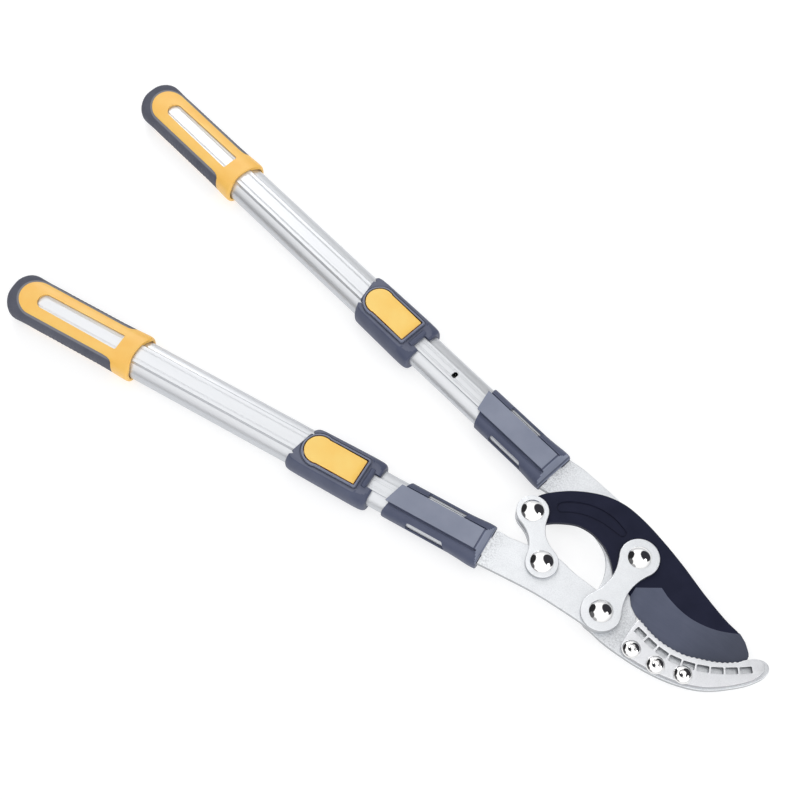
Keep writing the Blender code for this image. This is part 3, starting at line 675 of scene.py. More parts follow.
def offset(points, d):
    out = []
    for i, p in enumerate(points):
        a, b = Vector(points[max(i - 1, 0)]), Vector(points[min(i + 1, len(points) - 1)])
        t = (b - a).normalized()
        q = Vector(p) + Vector((t.y, -t.x)) * d
        out.append((q.x, q.y))
    return out


frame_outline = (
    [u(408, -TANG), u(us, -TANG), u(us, -16.4)]
    + curve([(-86.0, 55.6), (-66.0, 54.6), (-46.0, 51.0), (-30.0, 45.2), (-20.8, 37.7), (-14.6, 26.0),
             (-12.4, 14.0), (-14.6, 5.0), (-15.0, -3.0), (-11.6, -10.0), (-5.0, -14.0), (2.9, -14.8),
             (18.5, -16.2), (45.6, -14.8), (71.0, -9.5), (92.7, 0.7), (111.2, 18.6), (119.6, 31.2), (122.0, 38.6),
             (121.4, 43.2), (118.6, 45.9), (114.4, 46.4), (109.6, 44.4)], 6)
    + list(reversed(offset(cut_edge, 1.6)))
    + curve([(19.6, 24.0), (18.4, 34.0), (18.6, 46.0), (16.0, 58.0), (6.0, 69.0), (-10.0, 76.6), (-26.0, 81.0),
             (-42.9, 84.4), (-58.0, 86.4), (-77.2, 88.6)], 6)
    + [u(us, 17.4), u(us, TANG), u(408, TANG)])
bm = slab(frame_outline, [circle(5.3, 40), circle(5.3, 40, *P_BLADE)] + [circle(3.3, 24, *p) for p in SCREWS],
          *FRAME_Z, r=0.55, segs=3)
piece(to_object(bm, "anvil_frame_plate", ZINC_FRAME, M_HEAD), "frame", "anvil_frame")

arm_outline = (
    [v(357, -TANG), v(ls, -TANG), v(ls, -15.6)]
    + curve([(-92.0, -25.6), (-76.0, -22.6), (-49.2, -18.0), (-27.3, -16.0), (-8.0, -14.9)], 6)
    + [(15.0 * math.cos(math.radians(a)), 15.0 * math.sin(math.radians(a))) for a in range(-84, 121, 6)]
    + curve([(-12.6, 12.8), (-27.0, 13.0), (-36.2, 13.6), (-47.2, 15.2), (-57.0, 14.6), (-66.0, 12.2), (-76.0, 8.8),
             (-88.7, 5.6)], 6)
    + [v(ls, 15.6), v(ls, TANG), v(357, TANG)])
bm = slab(arm_outline, [circle(5.3, 40), circle(4.3, 40, *P_LINK)], *BLADE_Z, r=0.5, segs=3)
piece(to_object(bm, "lower_arm_plate", ZINC_ARM, M_HEAD), "lower_arm", "lower_arm")


def link_outline(p, q, r, waist):
    """Dog-bone link with hollow flanks between two pivots."""
    p, q = Vector(p), Vector(q)
    d = q - p
    length, ang = d.length, math.atan2(d.y, d.x)
    ends = []
    for i in range(31):
        a = math.radians(56) + (2 * math.pi - 2 * math.radians(56)) * i / 30
        ends.append((r * math.cos(a), r * math.sin(a)))
    w = waist / 2
    x0, y0 = ends[-1]
    flank = curve([(x0, y0), (x0 + 0.23 * (length - 2 * x0), -w - 0.55 * (abs(y0) - w) * 0.55), (length * 0.5, -w),
                   (length - x0 - 0.23 * (length - 2 * x0), -w - 0.55 * (abs(y0) - w) * 0.55), (length - x0, y0)],
                  6)[1:-1]
    pts = ends + flank + [(length - x, -y) for x, y in ends] + [(length - x, -y) for x, y in flank]
    c, s = math.cos(ang), math.sin(ang)
    return [(p.x + x * c - y * s, p.y + x * s + y * c) for x, y in pts]


bm = slab(link_outline(P_ARM, P_BLADE, 15.3, 16.6), [circle(5.3, 40), circle(5.3, 40, *P_BLADE)], *LINK_Z, r=0.55,
          segs=3)
piece(to_object(bm, "bridge_link_plate", ZINC, M_HEAD), "frame", "bridge_link")
small = link_outline(P_LINK, P_TAIL, 12.7, 13.2)
for name, z0, z1 in (("small_link_front", *LINK_Z), ("small_link_rear", 9.8, 13.3)):
    bm = slab(small, [circle(4.3, 40, *P_LINK), circle(4.3, 40, *P_TAIL)], z0, z1, r=0.5, segs=3)
    piece(to_object(bm, name + "_plate", ZINC, M_HEAD), "links", name)

# ------------------------------------------------------------- head: blade
bevel_line = [(9.4, 32.5), (13.2, 35.5), (17.0, 38.4), (20.9, 41.5), (24.7, 44.4)] + curve(
    [(24.7, 44.4), (33.5, 41.0), (45.0, 38.6), (56.1, 38.2), (67.2, 40.1), (76.6, 43.4), (83.5, 47.0),
     (90.0, 51.0)], 5)[1:]
cutting = curve([(9.6, 25.6), (11.4, 22.4), (17.0, 18.4), (24.0, 15.1), (40.8, 11.0), (50.7, 10.5), (59.7, 11.4),
                 (68.0, 13.3), (77.4, 17.7), (85.9, 21.9), (93.8, 27.2), (101.4, 34.3)], 5)
nose = curve([(101.4, 34.3), (104.4, 38.4), (103.9, 41.8), (101.0, 44.6), (96.3, 48.0)], 4)[1:]
back = curve([(90.0, 51.0), (75.0, 53.6), (52.3, 60.3), (28.2, 68.9), (5.2, 75.8), (-17.2, 80.9), (-36.1, 82.2),
              (-54.0, 77.8), (-72.9, 66.8), (-87.3, 52.9), (-92.6, 44.0), (-96.8, 34.5), (-94.2, 25.0),
              (-86.8, 21.4), (-79.2, 24.0), (-72.1, 33.4), (-64.4, 40.0), (-54.0, 46.0), (-43.0, 47.7),
              (-33.1, 46.2), (-24.6, 43.1), (-16.5, 37.4), (-9.8, 31.1), (-4.6, 28.8), (2.4, 28.8)], 6)[1:]


def blade():
    """Flat plate, rounded rims, a recessed curved panel, and a ground bevel with a fine bright edge."""
    bm = bmesh.new()
    z0, z1 = BLADE_Z
    r = 0.45
    low = z0 + 0.55
    far = cutting + nose
    # height of the top surface along the far side of the bevel
    tops = []
    for i, p in enumerate(far):
        k = max(0, i - len(cutting) + 1) / len(nose)
        tops.append(low + (z1 - low) * min(1.0, k) ** 1.3 * 0.97)
    holes = [circle(5.3, 40, *P_BLADE), circle(6.2, 40, *P_TAIL)]
    holes = [h[::-1] for h in holes]
    # body: bevel line, then the back round to the heel
    body = bevel_line[::-1] + back[::-1]
    body = clean(body)
    if area(body) < 0:
        body = body[::-1]
    n_bev = len(bevel_line)
    on_bevel = set((round(x, 4), round(y, 4)) for x, y in bevel_line)
    is_bev = [(round(x, 4), round(y, 4)) in on_bevel for x, y in body]
    rim = rings_for(z0, z1, r, 3)
    half = len(rim) // 2
    stack = []
    for d, z in rim:
        moved = inset(body, d)
        ring = []
        for (x, y), (mx, my), b in zip(body, moved, is_bev):
            if b:
                ring.append(None)
            else:
                ring.append(bm.verts.new((mx, my, z)))
        stack.append(ring)
    top_b = {(round(x, 4), round(y, 4)): bm.verts.new((x, y, z1)) for x, y in bevel_line}
    # walls of the body, away from the bevel
    m = len(body)
    for a, b in zip(stack, stack[1:]):
        for i in range(m):
            j = (i + 1) % m
            if a[i] and a[j]:
                bm.faces.new((a[i], a[j], b[j], b[i]))
    top_loop = [top_b[(round(x, 4), round(y, 4))] if b else stack[-1][i]
                for i, ((x, y), b) in enumerate(zip(body, is_bev))]
    hole_stacks = []
    for h in holes:
        hs = [[bm.verts.new((x, y, z)) for x, y in inset(h, d)] for d, z in rim]
        hole_stacks.append(hs)
        for a, b in zip(hs, hs[1:]):
            for i in range(len(a)):
                j = (i + 1) % len(a)
                bm.faces.new((a[i], a[j], b[j], b[i]))
    fill(bm, [top_loop] + [hs[-1] for hs in hole_stacks])
    # ground bevel: rows between the bevel line and the edge, slightly hollow
    rows = 5
    N = 60

    def along(points, t):
        lens = [0.0]
        for p, q in zip(points, points[1:]):
            lens.append(lens[-1] + (Vector(q) - Vector(p)).length)
        want = t * lens[-1]
        for k in range(len(points) - 1):
            if want <= lens[k + 1] + 1e-9:
                f = (want - lens[k]) / max(1e-9, lens[k + 1] - lens[k])
                return Vector(points[k]).lerp(Vector(points[k + 1]), f), k + f
        return Vector(points[-1]), len(points) - 1.0

    grid = []
    for i, p in enumerate(bevel_line):
        lens = [0.0]
        for a, b in zip(bevel_line, bevel_line[1:]):
            lens.append(lens[-1] + (Vector(b) - Vector(a)).length)
        t = lens[i] / lens[-1]
        q, idx = along(far, t ** 0.96)
        k = int(idx)
        zt = tops[k] + (tops[min(k + 1, len(tops) - 1)] - tops[k]) * (idx - k)
        col = [top_b[(round(p[0], 4), round(p[1], 4))]]
        for r_ in range(1, rows + 1):
            f = r_ / rows
            w = Vector(p).lerp(q, f)
            z = z1 + (zt - z1) * f - 0.35 * math.sin(math.pi * f) * (z1 - zt) / 4.0
            col.append(bm.verts.new((w.x, w.y, z)))
        grid.append(col)
    strip = []
    for a, b in zip(grid, grid[1:]):
        for k in range(rows):
            f = bm.faces.new((a[k], a[k + 1], b[k + 1], b[k]))
            f.material_index = 1
            strip.append(f)
    # fine bright edge and the underside's rim
    low_ring = []
    for i, col in enumerate(grid):
        top = col[-1]
        nxt = grid[min(i + 1, len(grid) - 1)][-1].co
        prv = grid[max(i - 1, 0)][-1].co
        t = (nxt - prv).normalized()
        out = Vector((t.y, -t.x, 0))
        low_ring.append(bm.verts.new((top.co.x + out.x * 0.12, top.co.y + out.y * 0.12, z0)))
    for i in range(len(grid) - 1):
        f = bm.faces.new((grid[i][-1], low_ring[i], low_ring[i + 1], grid[i + 1][-1]))
        f.material_index = 2
    # close the ends: heel and nose walls join the body's rim
    order = [i for i in range(m) if not is_bev[i]]
    first = next(i for i in range(m) if not is_bev[i] and is_bev[i - 1])
    last = next(i for i in range(m) if not is_bev[i] and is_bev[(i + 1) % m])
    for idx, col, lr in ((first, None, None), (last, None, None)):
        p = body[(idx - 1) % m] if idx == first else body[(idx + 1) % m]
        g = 0 if (Vector(p) - Vector(bevel_line[0])).length < 0.01 else len(grid) - 1
        wall = [low_ring[g]] + list(reversed(grid[g])) + [stack[k][idx] for k in range(len(stack) - 1, -1, -1)]
        bm.faces.new(wall)
    bottom = [stack[0][i] for i in range(m) if not is_bev[i]]
    start = order.index(first)
    bottom = [stack[0][i] for i in order[start:] + order[:start]]
    tail_end = body[(last + 1) % m]
    g_last_is_start = (Vector(tail_end) - Vector(bevel_line[0])).length < 0.01
    bottom += low_ring if g_last_is_start else low_ring[::-1]
    fill(bm, [bottom] + [hs[0] for hs in hole_stacks])
    marks = []
    for a, b in zip(bevel_line, bevel_line[1:]):
        e = bm.edges.get((top_b[(round(a[0], 4), round(a[1], 4))], top_b[(round(b[0], 4), round(b[1], 4))]))
        if e:
            marks.append(e)
    for i in range(len(grid) - 1):
        e = bm.edges.get((grid[i][-1], grid[i + 1][-1]))
        if e:
            marks.append(e)
    return bm, marks


bm, marks = blade()
blade_ob = to_object(bm, "blade_body", [NAVY, BEVEL, EDGE], M_HEAD, 50.0, False, marks)

# bare curved panel: a sunk channel round a smooth field that is slightly lower than the blade
panel_top = curve([(-74.6, 53.6), (-68.8, 58.6), (-59.3, 64.2), (-48.4, 67.6), (-35.3, 68.1), (-23.0, 65.2)], 8)
panel_low = curve([(-22.4, 58.4), (-31.9, 58.6), (-41.0, 58.4), (-52.8, 55.9), (-63.1, 51.0), (-70.0, 45.6)], 8)
panel = panel_top + curve([(-23.0, 65.2), (-20.6, 63.6), (-20.2, 60.4), (-22.4, 58.4)], 4)[1:-1] + panel_low \
    + curve([(-70.0, 45.6), (-73.4, 46.4), (-75.6, 50.2), (-74.6, 53.6)], 4)[1:-1]


def stacked(loops_z):
    """Closed solid through a stack of equal loops, (loop, z) from bottom to top."""
    bm = bmesh.new()
    rings = [[bm.verts.new((x, y, z)) for x, y in loop] for loop, z in loops_z]
    n = len(rings[0])
    for a, b in zip(rings, rings[1:]):
        for i in range(n):
            j = (i + 1) % n
            bm.faces.new((a[i], a[j], b[j], b[i]))
    fill(bm, [rings[0]])
    fill(bm, [rings[-1]])
    return bm


panel = clean(panel, 0.3)
if area(panel) < 0:
    panel = panel[::-1]
field = tool(stacked([(inset(panel, 0.25), BLADE_Z[1] - 0.35), (inset(panel, -0.30), BLADE_Z[1] + 0.4)]))
channel = slab(inset(panel, -0.1), [inset(panel, 1.15)], BLADE_Z[1] - 0.95, BLADE_Z[1] + 0.6, r=0.25, segs=2)
channel = tool(channel)
for cutter in (field, channel):
    cutter.matrix_world = M_HEAD
boolean(blade_ob, [field, channel])
bm = bmesh.new()
bm.from_mesh(blade_ob.data)
for e in bm.edges:
    if len(e.link_faces) == 2:
        a, b = e.link_faces
        e.smooth = a.material_index == b.material_index and e.calc_face_angle(0.0) < math.radians(38)
for f in bm.faces:
    f.smooth = True
bm.to_mesh(blade_ob.data)
bm.free()
w = blade_ob.modifiers.new("flat_normals", "WEIGHTED_NORMAL")
w.keep_sharp = True
w.weight = 80
piece(blade_ob, "blade", "blade")

# ------------------------------------------------- head: bolts and rivets
def cap_profile(radius, slope, lift):
    """Spherical cap that meets its rim at the given slope."""
    ball = (radius - 0.12) / math.sin(math.radians(slope))
    steps = [slope * k / 16 for k in range(17)]
    prof = [(ball * math.sin(math.radians(a)), ball * (math.cos(math.radians(a)) - math.cos(math.radians(slope))) + lift)
            for a in steps]
    return prof + [(radius, lift - 0.14), (radius, 0.22), (radius - 0.25, 0.0)]


low = 21.95
for name, p, body, kind in (("arm_bolt", P_ARM, "frame", "bolt"), ("blade_bolt", P_BLADE, "frame", "bolt"),
                            ("tail_rivet", P_TAIL, "links", "rivet"), ("link_rivet", P_LINK, "lower_arm", "rivet")):
    prof = [(r, low + z) for r, z in (cap_profile(9.0, 45.0, 0.75) if kind == "bolt" else cap_profile(8.9, 38.0, 0.65))]
    if kind == "bolt":
        prof += [(5.0, low), (5.0, 1.2), (4.4, 0.6), (0, 0.6)]
    else:
        prof += [(4.0, low), (4.0, 9.5), (7.4, 9.5), (7.5, 9.2), (7.2, 8.2), (6.4, 7.2), (5.0, 6.4), (3.0, 5.95), (0, 5.8)]
    bm = spin(prof, 64, *p)
    piece(to_object(bm, name + "_polished", CHROME, M_HEAD, 40.0, False), body, name)

screw = [(0, 21.45), (1.2, 21.4), (2.6, 21.2), (4.0, 20.85), (5.2, 20.3), (6.2, 19.6), (6.8, 18.95), (7.0, 18.35),
         (6.9, 18.15), (3.0, 18.15), (3.0, 9.0), (0, 9.0)]
for k, p in enumerate(SCREWS):
    ob = to_object(spin(screw, 48, *p), "anvil_screw_%d_polished" % (k + 1), CHROME, None, 40.0, False)
    recess = spin([(0, 19.2), (2.0, 19.45), (2.7, 19.9), (2.9, 20.6), (3.25, 21.3), (3.4, 22.5), (0, 22.5)][::-1], 32, *p)
    tower = prism(circle(3.6, 6, p[0], p[1], 0.5), 20.35, 24.0)
    boolean(ob, [tool(recess), tower])
    for q in ob.data.polygons:
        q.use_smooth = True
    ob.data.set_sharp_from_angle(angle=math.radians(36))
    ob.data.materials.clear()
    ob.data.materials.append(CHROME)
    paint(ob, SOCKET, 1, lambda q, d: (q.to_2d() - Vector(p)).length < 3.75 and q.z > 19.3 and d.z < 0.75)
    ob.matrix_world = M_HEAD
    piece(ob, "frame", "anvil_screw_%d" % (k + 1))

# ------------------------------------------------------ head: anvil insert
run = resample(curve([(26.2, 14.1), (40.8, 10.7), (50.7, 10.2), (59.7, 11.1), (68.0, 13.0), (77.4, 17.4),
                      (85.9, 21.6), (93.8, 26.9), (101.4, 33.7)], 12), 0.62)
teeth = []
for i, p in enumerate(run):
    wave = (0.05, 0.22, 0.55, 0.72, 0.55, 0.22)[i % 6]
    q = offset(run, wave)[i]
    teeth.append(q)
insert_outline = (
    [(25.4, 12.9), (24.8, 11.0), (24.9, 3.4), (25.4, -4.0), (25.8, -9.0), (26.6, -11.6), (28.4, -13.5), (31.0, -14.6)]
    + curve([(34.0, -14.9), (45.6, -13.7), (58.0, -11.6), (71.0, -8.3), (82.0, -3.9), (92.0, 1.9), (101.6, 10.2),
             (110.0, 19.4), (116.0, 28.0), (118.4, 35.0), (118.3, 39.6), (116.2, 42.6), (112.4, 43.6),
             (108.2, 41.6)], 5)
    + curve([(108.2, 41.6), (105.0, 38.4), (102.4, 35.2)], 4)[1:]
    + teeth[::-1])
mid = offset(curve([(30.0, 12.9), (50.7, 10.2), (68.0, 13.0), (85.9, 21.6), (101.6, 33.9), (112.0, 44.0)], 8), 6.8)
total = sum((Vector(b) - Vector(a)).length for a, b in zip(mid, mid[1:]))


def walk(points, dist):
    for a, b in zip(points, points[1:]):
        a, b = Vector(a), Vector(b)
        if dist <= (b - a).length:
            return a + (b - a).normalized() * dist, (b - a).normalized()
        dist -= (b - a).length
    return b, (b - a).normalized()


slots, slot_frames = [], []
for i in range(9):
    c, t = walk(mid, 3.2 + i * (total - 10.5) * 0.948 / 8)
    n = Vector((-t.y, t.x))
    box = [tuple(c + t * x * 4.4 + n * y * 2.5) for x, y in ((-1, -1), (1, -1), (1, 1), (-1, 1))]
    slots.append(fillet(box, 0.7, 3))
    slot_frames.append((Vector(c), Vector(t), n))
bm = slab(insert_outline, slots + [circle(3.3, 24, *p) for p in SCREWS], *BLADE_Z, r=0.4, segs=2, hole_r=0.3)
ob = to_object(bm, "anvil_insert_casting", CAST, M_HEAD)
# painted shade: the side walls of the insert's slots take the dark tone
paint(ob, SLOT_SHADE, 1, lambda q, d: abs(d.z) < 0.6 and any(
    abs((q.to_2d() - c).dot(t)) < 4.9 and abs((q.to_2d() - c).dot(n)) < 3.0 for c, t, n in slot_frames))
piece(ob, "frame", "anvil_insert")


def dress(node, mat, width=0.0):
    """A CAD node that stays: procedural finish, and a fine edge radius."""
    ob = nodes[node]
    if not ob.material_slots:
        ob.data.materials.append(mat)
    for s in ob.material_slots:
        s.material = mat
    if width:
        b = ob.modifiers.new("edges", "BEVEL")
        b.width = width * MM
        b.segments = 2
        b.limit_method = "ANGLE"
        b.angle_limit = math.radians(40)


for n in ("arm_washer", "blade_washer"):
    dress(n, STEEL, 0.2)
for n in ("arm_nut", "blade_nut"):
    dress(n, STEEL, 0.35)

# ---------------------------------------------------------------- handles
SIDES = (("upper", (390.5, 468.0), 459.0, 408.0, FRAME_Z, 356.5, "frame"),
         ("lower", (338.0, 417.0), 408.0, 357.0, BLADE_Z, 303.5, "lower_arm"))


def tube_mesh(s0, s1, half, grooves):
    """Hollow drawn tube with softened ends and fine drawn lines along its ridge."""
    out = [tube_section(s, half, g, grooves=grooves, depth=0.16) for s, g in
           ((s0, -0.3), (s0 + 0.12, -0.1), (s0 + 0.4, 0.0), (s1 - 0.4, 0.0), (s1 - 0.12, -0.1), (s1, -0.3))]
    inn = [tube_section(s, half, g, grooves=grooves, depth=0.0) for s, g in ((s0, -WALL + 0.2), (s0 + 0.5, -WALL),
                                                                         (s1 - 0.5, -WALL), (s1, -WALL + 0.2))]
    return hollow(out, inn)


def dee(cx, r, jog, s1, corner, flank=0.5):
    """Outline of the button and of its well: half round behind, square in front, with a small step in each flank."""
    arc = [(cx + r * math.cos(math.radians(a)), r * math.sin(math.radians(a))) for a in range(90, 271, 6)]
    step = [(jog - 1.0, -r), (jog - 0.3, -r + 0.08), (jog + 0.4, -r + flank - 0.08), (jog + 1.1, -r + flank)]
    front = fillet([(s1 - 12, -r + flank), (s1, -r + flank), (s1, r - flank), (s1 - 12, r - flank)],
                   [0.0, corner, corner, 0.0], 6)
    front = [q for q in front if q[0] > s1 - 11.9]
    return clean(arc + step + [(s1 - 20, -r + flank)] + front + [(s1 - 20, r - flank)]
                 + [(x, -y) for x, y in reversed(step)], 0.05)


def crowned(outline, z0, z1, r, crown, spine, shape=None):
    """Solid with a rounded rim and a softly domed top that rises towards a centre line along X."""
    bm = bmesh.new()
    outline = clean(outline, 0.05)
    if area(outline) < 0:
        outline = outline[::-1]
    prof = [(0.25, z0), (0.0, z0 + 0.25)]
    for k in range(6):
        a = math.pi / 2 * k / 5
        prof.append((r * (1 - math.cos(a)), z1 - r + r * math.sin(a)))
    loops = [(inset(outline, d), z) for d, z in prof]
    rim = loops[-1][0]
    for k in (0.08, 0.2, 0.36, 0.54, 0.72, 0.88):
        loops.append(([(x + (min(max(x, spine[0]), spine[1]) - x) * k, y * (1 - k)) for x, y in rim],
                      z1 + crown * (1 - (1 - k) ** 2)))
    rings = []
    for loop, z in loops:
        rings.append([bm.verts.new((x, y, z - (shape(x, y, z) if shape and z > z0 + 1.0 else 0.0))) for x, y in loop])
    n = len(outline)
    for a, b in zip(rings, rings[1:]):
        for i in range(n):
            j = (i + 1) % n
            bm.faces.new((a[i], a[j], b[j], b[i]))
    fill(bm, [rings[0]])
    fill(bm, [rings[-1]])
    return bm


def shell_profile(a, deck, top, bottom):
    right = [(deck, top), (deck + 2.2, top - 0.7), (a - 1.5, 7.2), (a - 0.2, 2.6), (a, -1.4), (a - 0.3, -5.6),
             (a - 2.1, -9.9), (a - 6.6, bottom)]
    full = right + [(-n, z) for n, z in reversed(right)]
    return fillet(full, [0.5, 1.2, 2.2, 1.8, 1.6, 1.6, 2.0, 1.6] + [1.6, 2.0, 1.6, 1.6, 1.8, 2.2, 1.2, 0.5], 3)


def shell_section(s, a, deck, top, bottom):
    return [(s, n, z) for n, z in shell_profile(a, deck, top, bottom)]


def grip_section(s, a, b, count=72, rib=0.0):
    pts = []
    for i in range(count):
        ang = 2 * math.pi * (i + 0.5) / count
        c, d = math.cos(ang), math.sin(ang)
        k = 1.0 - rib / 20.0 * max(0.0, 1 - abs(d) * 1.35)
        pts.append((s, k * a * math.copysign(abs(c) ** 0.72, c), b * math.copysign(abs(d) ** 0.72, d)))
    return pts


GRIP = ((-27.2, 2.6, 3.8), (-27.05, 4.4, 5.9), (-26.6, 7.0, 8.2), (-25.9, 9.4, 10.1), (-25.0, 11.6, 11.6),
        (-24.0, 13.4, 12.4), (-22.8, 15.1, 12.95), (-21.3, 16.8, 13.3), (-19.3, 18.4, 13.4), (-16.8, 19.4, 13.35),
        (-14.0, 19.8, 13.25), (-11.0, 19.75, 13.1), (-7.3, 19.6, 12.95), (-2.0, 19.45, 12.8), (8.0, 19.6, 12.7),
        (40.0, 19.7, 12.65), (70.0, 19.7, 12.65), (80.0, 19.8, 12.7), (88.0, 20.2, 12.95), (94.0, 20.5, 13.1),
        (97.4, 20.5, 13.1), (98.6, 20.3, 12.95), (99.5, 19.9, 12.55), (100.0, 19.3, 11.95))


def grip_at(s):
    for (a, *p), (b, *q) in zip(GRIP, GRIP[1:]):
        if a <= s <= b:
            t = (s - a) / (b - a)
            return [x + (y - x) * t for x, y in zip(p, q)]
    return GRIP[-1][1:]


def grip_loft(ribs):
    stations = sorted(set([g[0] for g in GRIP] + ([12.0 + 0.75 * k for k in range(88)] if ribs else
                                               [float(k) for k in range(0, 80, 10)])))
    secs = []
    for s in stations:
        a, b = grip_at(s)
        rib = 0.0
        if ribs and 13.0 < s < 77.0:
            rib = 0.42 * (0.5 - 0.5 * math.cos(2 * math.pi * (s - 13.0) / 4.0)) * min(1.0, (s - 13) / 6, (77 - s) / 6)
        secs.append(grip_section(s, a, b, rib=rib))
    bm = bmesh.new()
    skin(bm, secs)
    return bm


def band_outline(grow):
    """Outline of the orange frame seen from above: half round behind, flaring to the whole collar in front."""
    r = 15.1 + grow
    arc = [(-1.0 + r * math.cos(math.radians(a)), r * math.sin(math.radians(a))) for a in range(90, 271, 6)]
    flare = [(30, 15.0), (60, 14.9), (74, 14.95), (78.5, 15.3), (81.2, 16.1), (82.9, 17.6), (83.7, 19.6), (84, 26)]
    low = [(x - grow, -y - grow) for x, y in flare]
    return arc + low + [(120, -26), (120, 26)] + [(x, -y) for x, y in reversed(low)]


def window_outline(grow):
    r = 6.6 + grow
    arc = [(6.9 + r * math.cos(math.radians(a)), r * math.sin(math.radians(a))) for a in range(90, 271, 10)]
    tail = fillet([(60, -7.0 - grow), (81 + grow, -7.3 - grow), (81 + grow, 7.3 + grow), (60, 7.0 + grow)],
                  [0.0, 1.8, 1.8, 0.0], 5)
    return clean(arc + tail, 0.05)


for side, (g, i1), tube_end, tang_end, plate_z, first, base_body in SIDES:
    P = side + "_"
    M = M_SIDE[side]
    handle_body = side + "_handle"
    button_body = side + "_button"
    out = 1.0 if side == "upper" else -1.0     # side of the handle that faces outwards

    # tubes
    ob = to_object(tube_mesh(-12.0, 297.0, OUTER, (4.4, 5.1)), P + "outer_tube_drawn", ALU, M, 24.0)
    piece(ob, handle_body, P + "outer_tube")
    ob = tool(tube_mesh(tube_end - 383.0, tube_end, INNER, (2.1, 3.6)))
    holes = []
    for k in range(5):
        c = first - k * 53.0
        shape = fillet([(c - 2.1, -2.8), (c + 2.1, -2.8), (c + 2.1, 2.8), (c - 2.1, 2.8)], 1.9, 6)
        holes.append(prism(shape, 4.0, 12.0))
    for c in (tang_end + 22, tang_end + 44):
        holes.append(prism(circle(2.3, 20, c, 0), -14.0, -3.0))
    boolean(ob, holes)
    rounded(ob, ALU, M, 0.0, name=P + "inner_tube_drawn")
    ob.data.set_sharp_from_angle(angle=math.radians(24))
    piece(ob, base_body, P + "inner_tube")

    # sleeve: closed nose over the plate, two windows, overhanging flat panel
    slot_z = (plate_z[0] - AXIS_Z - 0.3, plate_z[1] - AXIS_Z + 0.3)
    foot = slot_z[1] + 0.7

    def sleeve_section(s, a, groove, top=99.0, low=-99.0, k=1.0):
        b = 11.3
        q = [(8.9, b), (9.15, b - 0.35 * groove), (9.3, b - 1.9 * groove - 0.5), (10.1, b - 1.9 * groove - 0.55),
             (10.5, b - 1.05 * groove - 0.6)]
        start = math.acos((11.2 / a) ** (1 / 0.75))
        for i in range(13):
            ang = start * (1 - i / 12)
            q.append((a * math.cos(ang) ** 0.75, 10.0 * math.sin(ang) ** 0.75 if ang > 1e-6 else 0.0))
        lowq = [(n * (1 - 0.04 * (z / 10.0) ** 2), -1.1 * z) for n, z in reversed(q[:-1])]
        right = q + lowq
        full = right + [(-n, z) for n, z in reversed(right)]
        return [(s, n * k, max(low, min(z, top))) for n, z in full]

    def slanted(sec):
        """The rear end of the sleeve runs back towards the outer side."""
        fade = max(0.0, 1.0 - (sec[0][0] - g) / 16.0)
        return [(s + (0.7 - 0.28 * out * n) * fade, n, z) for s, n, z in sec]

    span = 11.3 - foot
    secs = [slanted(sleeve_section(g, 16.9, 1.0, 10.9, -10.9, 0.99)), slanted(sleeve_section(g + 0.25, 17.0, 1.0)),
            slanted(sleeve_section(g + 0.9, 17.2, 1.0)), slanted(sleeve_section(g + 6, 17.2, 1.0)),
            slanted(sleeve_section(g + 12, 17.2, 1.0)), sleeve_section(g + 18, 17.2, 1.0),
            sleeve_section(i1 - 24, 17.3, 1.0), sleeve_section(i1 - 16, 17.7, 1.0), sleeve_section(i1 - 9, 18.3, 1.0),
            sleeve_section(i1 - 6.0, 18.5, 1.0), sleeve_section(i1 - 5.4, 18.5, 0.0)]
    for t, k in ((0.0, 1.0), (0.10, 0.97), (0.22, 0.90), (0.45, 0.70), (0.68, 0.48), (0.84, 0.30), (0.94, 0.13),
                 (1.0, 0.0)):
        secs.append(sleeve_section(i1 - 5.2 + 4.5 * t, 18.5 - 0.2 * t * t, 0.0, foot + span * k))
    secs.append(sleeve_section(i1 - 0.3, 18.4, 0.0, foot - 0.3, -11.2, 0.995))
    secs.append(sleeve_section(i1, 18.2, 0.0, foot - 0.6, -10.9, 0.985))
    bm = bmesh.new()
    skin(bm, secs)
    ob = tool(bm)
    wins = []
    for o, w0, w1 in ((out, g + 17.6, g + 51.4), (-out, g + 21.8, g + 56.4)):
        z0, z1 = (4.4, 9.3) if o > 0 else (-1.6, 6.3)
        win = fillet([(w0, z0), (w1 - 0.6, z0), (w1, z0 + 2.0), (w1 - 2.6, z1), (w0, z1)], [2.0, 0.9, 0.9, 1.2, 2.4], 5)
        wins.append(prism(win, *((-30, -2) if o > 0 else (2, 30)), stand=True))
    bore = bmesh.new()
    skin(bore, [tube_section(g - 5.0, INNER, 0.3), tube_section(i1 - 8.7, INNER, 0.3)])
    cuts = [*wins, tool(bore),
            block(i1 - 12.0, i1 + 2.0, -8.3, 8.3, *slot_z), block(g - 8.0, i1 - 4.0, -10.2, -8.85, 9.3, 14.0),
            block(g - 8.0, i1 - 4.6, 8.85, 9.7, 10.0, 14.0)]
    for c in (tang_end + 22, tang_end + 44):
        cuts.append(prism(circle(2.3, 20, c, 0), -16.0, -5.0))
    boolean(ob, cuts)
    rounded(ob, [GREY, NOSE_LIT], M, 0.28, 2, 40.0, name=P + "sleeve_body")
    # painted light: the nose faces that face forward and up take the lighter grey
    paint(ob, NOSE_LIT, 1, lambda c, n: c.x > i1 - 5.6 and n.x > 0.3 and n.z > 0.35)
    piece(ob, base_body, P + "sleeve")
    plate_out = fillet([(g - 2.1 + 2.5 * out, -8.75), (i1 - 6.6, -8.75), (i1 - 6.6, 8.75), (g - 2.1 - 2.5 * out, 8.75)],
                       [0.5, 0.5, 0.5, 0.5], 3)
    # painted light: the flat top panel takes the lighter copy of the grey plastic
    ob = to_object(slab(plate_out, [], 10.4, 12.0, r=0.3, segs=3), P + "sleeve_panel", PANEL_LIT, M)
    piece(ob, base_body)

